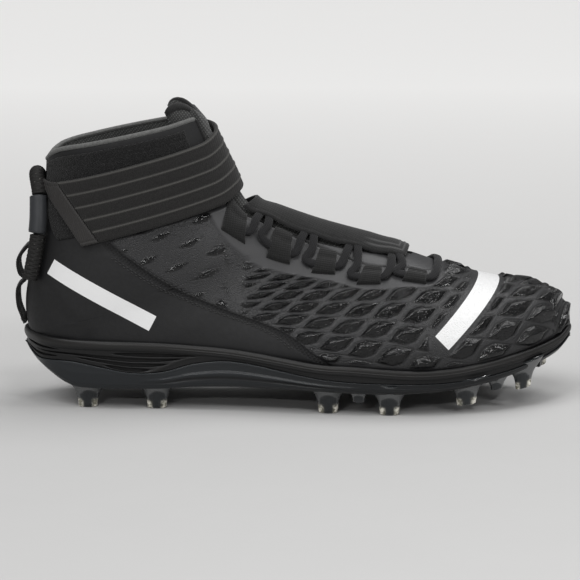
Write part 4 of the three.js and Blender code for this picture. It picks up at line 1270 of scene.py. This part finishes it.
def lace_strand(start, ends, stop, side, sink, lift=0.0):
    """A strand from inside one loop of webbing, over the throat, to inside another."""
    reach = -LACE_BESIDE if ends == "rear" else LACE_BESIDE
    out, far_out = start["out"] - LACE_TUCK, stop["out"] - LACE_TUCK
    spots = [
        (start["x"], side * out, 0),
        (start["front"][0] + 0.8, side * out, 0),
        (start["front"][0] + LACE_BESIDE * 0.72, side * (out - 1.2), 0.2),
        (start["front"][1] + LACE_BESIDE, side * start["within"], 0.4),
        (start["crossing"], 0, lift),
        (stop[ends][1] + reach, -side * stop["within"], 0.4),
        (stop[ends][0] + reach * 0.72, -side * (far_out - 1.2), 0.2),
        (stop[ends][0] + math.copysign(0.8, reach), -side * far_out, 0),
        (stop["x"], -side * far_out, 0),
    ]
    # The lift counts tenfold in the course, so that it is smoothed as evenly as x and y
    course = resample([(x, y, z * 10) for x, y, z in spots], LACE_SPOTS)
    x, y, extra = course[:, 0], course[:, 1], course[:, 2] / 10
    middle = np.clip(1 - (np.abs(y) / (THROAT_WIDTH / 2)) ** 2, 0, 1)
    spot = np.arange(LACE_SPOTS)
    inside = smooth(12, 6, spot) + smooth(107, 113, spot)
    path, up = on_top(x, y, LACE_CENTRE + 0.25 - sink * middle + extra - 0.7 * inside)
    braid = 0.1 * np.sin(spot[:, None] * 1.9 + np.pi * (np.arange(LACE_SIDES)[None, :] % 2))
    relief = braid - 0.25 * inside[:, None]
    return cord_mesh(path, LACE_WIDTH, LACE_THICK - 0.4, up, LACE_SIDES, relief, square=2.6)


for number in range(5):
    for side_name in ("lateral", "medial"):
        tunnel(number, side_name)
for number in range(4):
    here, after = tunnel_plan(number), tunnel_plan(number + 1)
    strands = [lace_strand(here, "rear", after, s, 0.6, 0.7 * s) for s in (-1, 1)]
    join(f"lace_cross_{number + 1}", strands, "lace", [f"laces_{number + 1}"])
end_plan = tunnel_plan(4)
end_strand = lace_strand(end_plan, "front", end_plan, -1, 0.0)
join("lace_bottom_bar", [end_strand], "lace", ["laces_bar"])


# Sections of LAST between which the cover lies
COVER_FROM = 5.6
COVER_TO = 14.7


def lace_cover():
    """Soft strip over the crossings, its edges dipping between the strands."""
    rows, columns = 260, 44
    step = np.linspace(COVER_FROM, COVER_TO, rows)[:, None]
    y = (COVER_WIDTH / 2) * np.linspace(-1, 1, columns)[None, :]
    turn = turn_at_y(step, y)
    x = form_point(step, turn)[..., 0]
    share = np.abs(y) / (COVER_WIDTH / 2)
    crossing = 0.5 + 0.5 * np.cos(2 * np.pi * (x - LACE_START - LACE_PITCH * 0.64) / LACE_PITCH)
    droop = (1.6 + 1.5 * (1 - crossing)) * share ** 2.0
    end = smooth(13.6, COVER_TO, step)
    from_end = form_point(np.full((1, columns), COVER_TO), turn_at_y(COVER_TO, y))[..., 0] - x
    edge_in = np.minimum(COVER_WIDTH / 2 - np.abs(y), from_end)
    near_end = smooth(26, 18, from_end)
    frames = (bell(edge_in, 2.4, 0.5) + bell(edge_in, 5.0, 0.5)) * near_end
    hem = bell(edge_in, 1.6, 0.35) * (1 - near_end)
    round_edge = edge_round(rows, columns, 4, 2)
    top = 6.3 - droop + 0.35 * frames - 0.25 * hem - 0.6 * (1 - round_edge) - 0.8 * end
    top = top + 0.35 * np.sin(x / 5.1) * share ** 2
    outer = off_form(step, turn, top)
    inner = off_form(step, turn, top - 1.5 + 0.7 * (1 - round_edge))
    points, faces = flipped(slab_mesh(outer, inner))
    both = {"frame": np.tile(frames.ravel(), 2)}
    mesh_object("cover_strip", points, faces, "cover", ["lace_cover"], both)


lace_cover()

# Heel rope and webbing


def off_heel(step, y, offset):
    across = np.minimum(np.abs(y) / (BALL_WIDTH * last["lateral"](step)), 1)
    turn = np.arcsin(across ** (last["backSquare"](step) / 2)) / (2 * np.pi)
    return off_form(step, np.where(y < 0, 0.5 - turn, 0.5 + turn), offset)


ROPE_SPOTS = 600
ROPE_OUT = (-1, 0.001, 0.2)
ROPE_SIDES = 24
SLEEVE_SIDES = 28
ROPE_GAP = 0.003


def rope_course(diameter, start, end):
    """Shares of the rope's middle line, from the outer foot over the bend to the inner foot."""
    rows = ROPE_LEG
    offset = np.full(len(rows["at"]), diameter / 2 + 2 * GAP)
    lateral = off_heel(rows["at"], -BALL_WIDTH * rows["across"], offset)
    medial = off_heel(rows["at"], BALL_WIDTH * rows["across"], offset)[::-1][1:]
    course = resample(np.concatenate([lateral, medial]), ROPE_SPOTS)
    return course[int(start * (ROPE_SPOTS - 1)):int(end * (ROPE_SPOTS - 1)) + 1]


def rope_stretch(name, start, end, nodes):
    path = rope_course(ROPE, start, end)
    k = np.arange(len(path))[:, None] * 0.62
    a = 2 * np.pi * np.arange(ROPE_SIDES)[None, :] / ROPE_SIDES
    strands = np.maximum(np.sin(4 * a + k), np.sin(4 * a - k + 1.2))
    relief = 0.5 * np.clip(strands, 0, 1) ** 0.6 - 0.45
    cord = cord_mesh(path, ROPE, ROPE, ROPE_OUT, ROPE_SIDES, relief, taper=4)
    join(name, [cord], "rope", nodes)


def sleeve(name, start, end, nodes):
    path = rope_course(SLEEVE, start, end)
    ends = np.minimum(np.arange(len(path)), np.arange(len(path))[::-1])[:, None]
    relief = -0.35 * (ends == 4) - 0.15 * np.ones((len(path), SLEEVE_SIDES))
    cord = cord_mesh(path, SLEEVE, SLEEVE, ROPE_OUT, SLEEVE_SIDES, relief, taper=3)
    join(name, [cord], "sleeve", nodes)


leg_from, leg_to = SLEEVE_SPAN[0] / 2, SLEEVE_SPAN[1] / 2
rope_stretch("rope_top", leg_to + ROPE_GAP, 1 - leg_to - ROPE_GAP, ["rope_bend"])
rope_stretch("rope_outer_leg", 0, leg_from - ROPE_GAP, ["rope_leg_lateral"])
rope_stretch("rope_inner_leg", 1 - leg_from + ROPE_GAP, 1, ["rope_leg_medial"])
sleeve("rope_outer_sleeve", leg_from, leg_to, ["sleeve_lateral"])
sleeve("rope_inner_sleeve", 1 - leg_to, 1 - leg_from, ["sleeve_medial"])


def heel_x(z):
    step = halve(np.zeros(np.shape(z)), 8.0, lambda s: upper_z(last["backZ"](s)) > z)
    return LENGTH * last["backX"](step)


def heel_webbing():
    z = upper_z(WEBBING["z"])
    line = np.stack([heel_x(z) - WEBBING["off"] * WEB_LOOP, 0 * z, z], -1)
    path = resample(line, 200)
    sides = 40
    ribs = 0.07 * np.sin(np.arange(200)[:, None] * 1.5) * np.ones((1, sides))
    strip = cord_mesh(path, WEB_WIDTH, WEB_THICK, (-1, 0.0, 0.001), sides, ribs, square=7)
    stitches = []
    for at in (6, 9, 118, 122, 190, 193):
        for y in np.linspace(-6, 6, 7):
            spot = path[at] + [-WEB_THICK / 2 - 0.15, y, 0]
            line = spot + np.outer(np.linspace(-0.8, 0.8, 5), (0, 1, 0))
            stitches.append(cord_mesh(line, 0.7, 0.7, (-1, 0, 0), 6, taper=2))
    join("heel_tape", [strip], "webbing", ["heel_webbing"])
    join("heel_tape_stitches", stitches, "stitch")


heel_webbing()


# Seam stitches on both sides

THREAD = np.array([-0.7, 0, 0.7])


def seam_stitches():
    """Rows of short stitches along the seam, two behind it and one ahead of it."""
    pieces = []
    for side in (1, -1):
        z = np.linspace(84, 34, 260)
        up = (z - STUD_HEIGHT) / UPPER_RISE
        for gap in (-3.4, -5.2, 4.6):
            x = LENGTH * seam_x(up) + gap
            step = np.full(z.shape, 4.0)
            turn = np.full(z.shape, 0.2)
            for _ in range(30):
                turn = halve(np.full(z.shape, 0.05), 0.45, lambda t: form_point(step, t)[..., 2] > z, 18)
                wrong = x - form_point(step, turn)[..., 0]
                step = np.clip(step + wrong * 0.035, 0.5, 20)
            spot = off_form(step, side * turn, np.full(z.shape, 0.25 if gap < 0 else SKIN_STEP + 0.2))
            run = np.concatenate([[0], np.cumsum(np.linalg.norm(np.diff(spot, axis=0), axis=1))])
            marks = np.arange(2.0, run[-1] - 2, 2.6)
            for m in marks:
                ends = np.stack([np.interp(m + THREAD, run, spot[:, k]) for k in range(3)], -1)
                pieces.append(cord_mesh(ends, 0.62, 0.5, (0, -side, 0.2), 5))
    join("seam_stitches", pieces, "stitch")


seam_stitches()

# Sole

SOLE_AROUND = 440
FLANK_RISE = np.array([0, 0.12, 0.4, 0.85, 1.0])
FLANK_INSET = np.array([4.0, 2.48, 1.44, 1.32, 0.9])


def sole_outline():
    """Plan outline of the sole, with its inward direction."""
    k = np.arange(SOLE_AROUND)
    half = SOLE_AROUND / 2
    turn = np.pi * np.minimum(k, SOLE_AROUND - k) / half
    y = np.where(k <= half, outline_side["lateral"](turn), outline_side["medial"](turn))
    spots = np.stack([LENGTH * (1 - np.cos(turn)) / 2, BALL_WIDTH * y], -1)
    run = unit(np.roll(spots, -3, axis=0) - np.roll(spots, 3, axis=0))
    return spots, np.stack([-run[:, 1], run[:, 0]], -1)


OUTLINE_SPOTS, OUTLINE_INWARD = sole_outline()
SOLE_X = OUTLINE_SPOTS[:, 0]
RIM_Z = side_z("rim", SOLE_X)
EDGE_Z = side_z("edge", SOLE_X)
UNDER_Z = side_z("under", SOLE_X)
BAND_FOOT = RIM_Z - np.minimum(RIM_BAND, (RIM_Z - UNDER_Z) * 0.45)


def sole_rows(insets, heights):
    """A grid round the sole from rows of insets and heights."""
    rows = []
    for inset, z in zip(insets, heights):
        plan = OUTLINE_SPOTS + OUTLINE_INWARD * np.broadcast_to(inset, SOLE_X.shape)[:, None]
        rows.append(np.concatenate([plan, np.broadcast_to(z, SOLE_X.shape)[:, None]], 1))
    return np.stack(rows)


def flank_inset(z):
    rise = np.clip((z - UNDER_Z) / (BAND_FOOT - UNDER_Z), 0, 1)
    return np.interp(rise, FLANK_RISE, FLANK_INSET)


# Slots in the heel of the midsole: start and end along x, in mm, and share of the wall's height
SOLE_SLOTS = [
    (50, 99, 0.84),
    (8, 90, 0.58),
    (30, 80, 0.34),
    (46, 70, 0.12),
    (-20, 20, 0.3),
    (-20, 20, 0.86),
]
SOLE_ARM = {"start": (72, 0.05), "end": (100, 0.86)}


def midsole():
    x = SOLE_X
    rings = []

    def ring(inset, z, shaded_slot=0.0, highlit_crest=0.0):
        rings.append([np.broadcast_to(value, x.shape) for value in (inset, z, shaded_slot, highlit_crest)])

    tall = BAND_FOOT - EDGE_Z > 5
    for share in np.linspace(0, 1, 46):
        z = lerp(EDGE_Z + GAP, BAND_FOOT, share)
        # Mask of the slots, which sets them in and is painted darker as shade.
        shaded_slot = np.zeros(x.shape)
        for start, end, height in SOLE_SLOTS:
            taper = np.clip(1 - np.abs(2 * (x - start) / (end - start) - 1) ** 4, 0, 1)
            near = np.abs(share - height) / np.maximum(taper, 0.05)
            shaded_slot = np.maximum(shaded_slot, smooth(0.1, 0.06, near) * (taper > 0))
        arm_x = lerp(SOLE_ARM["start"][0], SOLE_ARM["end"][0], (share - 0.05) / 0.81)
        arm = bell(x, arm_x, 3.2)
        shaded_slot = shaded_slot * (1 - smooth(0.2, 0.6, arm)) * tall
        # The crest is a raised ridge, also painted lighter as a highlight.
        highlit_crest = 0.5 * arm * tall
        ring(flank_inset(z) + 1.5 * shaded_slot - highlit_crest * 0.8, z, shaded_slot, highlit_crest)
    ahead = smooth(60, 110, x)
    for share in np.linspace(0, 1, 22):
        bulge = 1.0 - 1.15 * np.sqrt(np.clip(1 - (2 * share - 0.95) ** 2, 0, 1))
        fine = 0.28 * bell(share, 0.3, 0.05) + 0.28 * bell(share, 0.52, 0.05)
        shaded_slot = 0.35 * bell(share, 0.02, 0.05) + 0.4 * fine / 0.28 * ahead
        # The middle of the bulging band is painted lighter as a highlight.
        highlit_crest = smooth(0.2, 0.5, share) * (1 - smooth(0.75, 0.95, share))
        ring(bulge + fine * ahead + 0.05, lerp(BAND_FOOT, RIM_Z + 0.2, share), shaded_slot, highlit_crest)
    for inset, drop in ((1.6, 0.2), (3.0, 0.4), (4.6, 1.4), (6.2, 4.0), (6.6, 6.0)):
        ring(inset, np.maximum(RIM_Z + 0.2 - drop, EDGE_Z + 0.6))
    ring(6.6, EDGE_Z + GAP)
    insets, heights, shaded_slots, highlit_crests = zip(*rings)
    grid = sole_rows(insets, heights)
    rows = len(grid)
    faces = [grid_faces(rows, SOLE_AROUND, True)]
    last_row = np.arange(SOLE_AROUND) + (rows - 1) * SOLE_AROUND
    first_row = np.arange(SOLE_AROUND)
    faces.append(np.stack([last_row, np.roll(last_row, -1), np.roll(first_row, -1), first_row], -1))
    # shaded_slot carries painted shade, highlit_crest carries painted highlight.
    attributes = {"shaded_slot": np.clip(np.array(shaded_slots), 0, 1), "highlit_crest": np.array(highlit_crests)}
    points = grid.reshape(-1, 3)
    mesh_object("midsole_wall", points, faces, "midsole", ["midsole"], attributes)


def plate():
    insets, heights, smoke_and_highlight, shaded_slots = [], [], [], []
    x = SOLE_X
    tall = EDGE_Z - UNDER_Z
    deep = smooth(2, 6, tall)
    arch = smooth(60, 90, x) * (1 - smooth(150, 190, x))
    for share in np.linspace(1, 0, 40):
        z = lerp(UNDER_Z, EDGE_Z, share)
        ridge = bell(share, 0.55, 0.07) * arch
        front_ridge = bell(share, 0.5, 0.12) * smooth(150, 190, x)
        dent = bell(share, 0.36, 0.08) * arch
        lip = smooth(0.86, 0.95, share)
        relief = (0.7 * ridge + 0.4 * front_ridge - 0.6 * dent) * deep
        insets.append(flank_inset(z) - PLATE_PROUD - relief - 0.25 * lip)
        heights.append(z)
        # Smoky tone towards the heel, plus painted highlight on the ridge and the lip.
        smoke_and_highlight.append(np.clip(0.7 * (1 - smooth(70, 240, x)) + 0.6 * ridge + 0.4 * lip, 0, 1))
        # Painted shade in the dent.
        shaded_slots.append(np.clip(dent * 0.8, 0, 1))
    wall = sole_rows(insets, heights)
    top = sole_rows([insets[0] + 0.9, insets[0] + 2.2], [EDGE_Z + 0.1, EDGE_Z - 0.4])[::-1]
    bottom = []
    centre = OUTLINE_SPOTS.copy()
    centre[:, 1] = (OUTLINE_SPOTS[:, 1] + OUTLINE_SPOTS[::-1][np.arange(SOLE_AROUND) - 1, 1]) / 2
    for share in np.linspace(0.03, 1, 26):
        plan = lerp(wall[-1][:, :2], centre, share)
        rib = 0.8 * bell(share, 0.3, 0.05) + 0.7 * bell(share, 0.62, 0.06)
        z = UNDER_Z + 0.6 * smooth(0.05, 0.5, share) - rib
        bottom.append(np.concatenate([plan, z[:, None]], 1))
    grid = np.concatenate([top, wall, np.stack(bottom)])
    extra = [np.zeros(x.shape)]
    attributes = {
        "smoke_and_highlight": np.array(extra * 2 + smoke_and_highlight + extra * 26),
        "shaded_slot": np.array(extra * 2 + shaded_slots + extra * 26),
    }
    faces = grid_faces(len(grid), SOLE_AROUND, True)[:, ::-1]
    points = grid.reshape(-1, 3)
    mesh_object("plate_shell", points, faces, "plate", ["outsole_plate"], attributes)


STUD_RISES = [0, 0.15, 0.3, 0.45, 0.58, 0.7, 0.85, 1]
STUD_WIDENS = [0, 0.05, 0.13, 0.28, 0.54, 0.95, 1.45, 1.9]


def smooth_face():
    """The stud's section with rounded corners."""
    ring = STUD_FACE
    for _ in range(2):
        after = np.roll(ring, -1, axis=0)
        ring = np.stack([0.78 * ring + 0.22 * after, 0.22 * ring + 0.78 * after], 1).reshape(-1, 2)
    return ring


FACE_RING = smooth_face()


def stud_mesh(x, y, side, face_z, foot_z, size, spread):
    outward = -1 if side == "lateral" else 1
    rises = np.concatenate([[0, 0.0, 0.04, 0.1], np.linspace(0.18, 1, 18)])
    pinch = np.concatenate([[0.82, 0.94, 1.0, 1.0], np.ones(18)])
    rings, tips_and_glints = [], []
    for rise, small in zip(rises, pinch):
        widen = np.interp(rise, STUD_RISES, STUD_WIDENS)
        scale = size * lerp(1, spread, widen) * small
        px = x + FACE_RING[:, 0] * scale
        py = y + outward * FACE_RING[:, 1] * scale
        up = 0.02 if small > 0.9 and rise == 0 else rise
        pz = lerp(face_z(px), foot_z(px), up)
        rings.append(np.stack([px, py, pz], -1))
        # Mask of the blades' pale tips, partly clear plastic and partly painted glints.
        away = smooth(0.16, 0.3, np.abs(FACE_RING[:, 0]))
        tips_and_glints.append(away * (1 - smooth(0.2, 0.3, rise)) * (1 - 0.8 * bell(rise, 0.12, 0.015)))
    grid = np.stack(rings)
    ends = [grid[0].mean(0), grid[-1].mean(0)]
    faces = tube_faces(len(grid), len(FACE_RING))
    if side == "lateral":
        faces = [f[:, ::-1] for f in faces]
    return np.concatenate([grid.reshape(-1, 3), ends]), faces, np.append(np.array(tips_and_glints).ravel(), [0, 0])


def stud_place(at, side, inset):
    """x and y of a stud, from shares of the sole's length and of its width in from the outline."""
    x = LENGTH * at
    edge = BALL_WIDTH * outline_side[side](outline_angle(x / LENGTH))
    return x, edge + (1 if side == "lateral" else -1) * BALL_WIDTH * inset


def studs():
    for name, at, side, inset, grounded, size in STUDS:
        x, y = stud_place(at, side, inset)
        slope = side_z("under", x + 0.5) - side_z("under", x - 0.5)
        raised = side_z("under", x) - STUD_FRONT

        def face_z(px, grounded=grounded, raised=raised, slope=slope, x=x):
            return 0 * px if grounded else raised + slope * (px - x)
        points, faces, tips_and_glints = stud_mesh(
            x, y, side, face_z, lambda px: side_z("under", px) + 5.0, STUD_TIP * size, STUD_SPREAD
        )
        mesh_object(f"blade_{name}", points, faces, "stud", [f"stud_{name}"], {"tip_and_glint": tips_and_glints})
    pieces = []
    for at, side, inset in LUGS:
        x, y = stud_place(at, side, inset)
        points, faces, _ = stud_mesh(
            x, y, side,
            lambda px: side_z("under", px) - LUG_HEIGHT, lambda px: side_z("under", px) + 1.0,
            LUG_FACE, LUG_SPREAD,
        )
        pieces.append((points, faces))
    join("plate_lugs", pieces, "stud")


midsole()
plate()
studs()

# Stage

floor_mesh = bpy.data.meshes.new("floor")
REACH = 8.0
corners = [(-REACH, -REACH, 0), (REACH, -REACH, 0), (REACH, REACH, 0), (-REACH, REACH, 0)]
floor_mesh.from_pydata(corners, [], [(0, 1, 2, 3)])
floor = bpy.data.objects.new("floor", floor_mesh)
scene.collection.objects.link(floor)


def floor_finish():
    """Pale paper, with painted shade: darker near the shoe and in front of it, lighter towards the back.
    """
    f = Finish("floor", (0.50, 0.498, 0.494), 0.95, vary=0.005, grain=60.0)
    where = node(f.tree, "ShaderNodeTexCoord").outputs["Object"]
    depth = node(f.tree, "ShaderNodeSeparateXYZ", {0: where}).outputs[1]
    # Painted shade and light: the floor's colour brightens from the front towards the back.
    f.paint(ramp(f.tree, depth, -0.1, 1.6), (0.92, 0.915, 0.905))
    return f.done()


floor_mesh.materials.append(floor_finish())

world = bpy.data.worlds.new("world")
scene.world = world
world.use_nodes = True
backdrop = world.node_tree.nodes["Background"]
backdrop.inputs[0].default_value = (0.9, 0.9, 0.905, 1)
backdrop.inputs[1].default_value = 0.24
scene.view_settings.view_transform = "Standard"
scene.view_settings.look = "None"


def area_light(name, spot, target, size, power):
    data = bpy.data.lights.new(name, "AREA")
    data.shape = "RECTANGLE"
    data.size, data.size_y = size
    data.energy = power
    obj = bpy.data.objects.new(name, data)
    scene.collection.objects.link(obj)
    obj.location = spot
    obj.rotation_euler = (Vector(target) - Vector(spot)).to_track_quat("-Z", "Y").to_euler()


def soft_sun(name, toward, strength, spread):
    """A wide, even light that comes from a direction. The spread is in degrees."""
    data = bpy.data.lights.new(name, "SUN")
    data.energy = strength
    data.angle = math.radians(spread)
    obj = bpy.data.objects.new(name, data)
    scene.collection.objects.link(obj)
    obj.rotation_euler = (-Vector(toward)).to_track_quat("-Z", "Y").to_euler()


soft_sun("left_bank", (-0.5, -0.6, 1.0), 1.15, 34)
soft_sun("top_bank", (0.35, 0.25, 1.0), 1.25, 42)
STRIP_SPOTS = [
    (0.75, -0.95, 0.62),
    (0.2, -1.15, 0.95),
    (-0.35, -1.25, 0.5),
    (0.95, -0.4, 0.8),
    (0.1, -0.5, 1.3),
]
STRIP_SIZE = (0.3, 0.025)
STRIP_TARGET = (0.06, 0, 0.04)
STRIP_POWER = 2.0
for number, spot in enumerate(STRIP_SPOTS):
    area_light(f"strip_{number + 1}", spot, STRIP_TARGET, STRIP_SIZE, STRIP_POWER)

SENSOR = 36
FIELD = math.radians(12.35)
CAMERA_SPOT = (-0.0025, -1.44, 0.325)
CAMERA_TARGET = (-0.0025, 0, 0.060)

camera_data = bpy.data.cameras.new("camera")
camera = bpy.data.objects.new("camera", camera_data)
scene.collection.objects.link(camera)
scene.camera = camera
camera_data.sensor_width = SENSOR
camera_data.lens = SENSOR / (2 * math.tan(FIELD / 2))
camera.location = CAMERA_SPOT
aim = Vector(CAMERA_TARGET) - camera.location
camera.rotation_euler = aim.to_track_quat("-Z", "Y").to_euler()
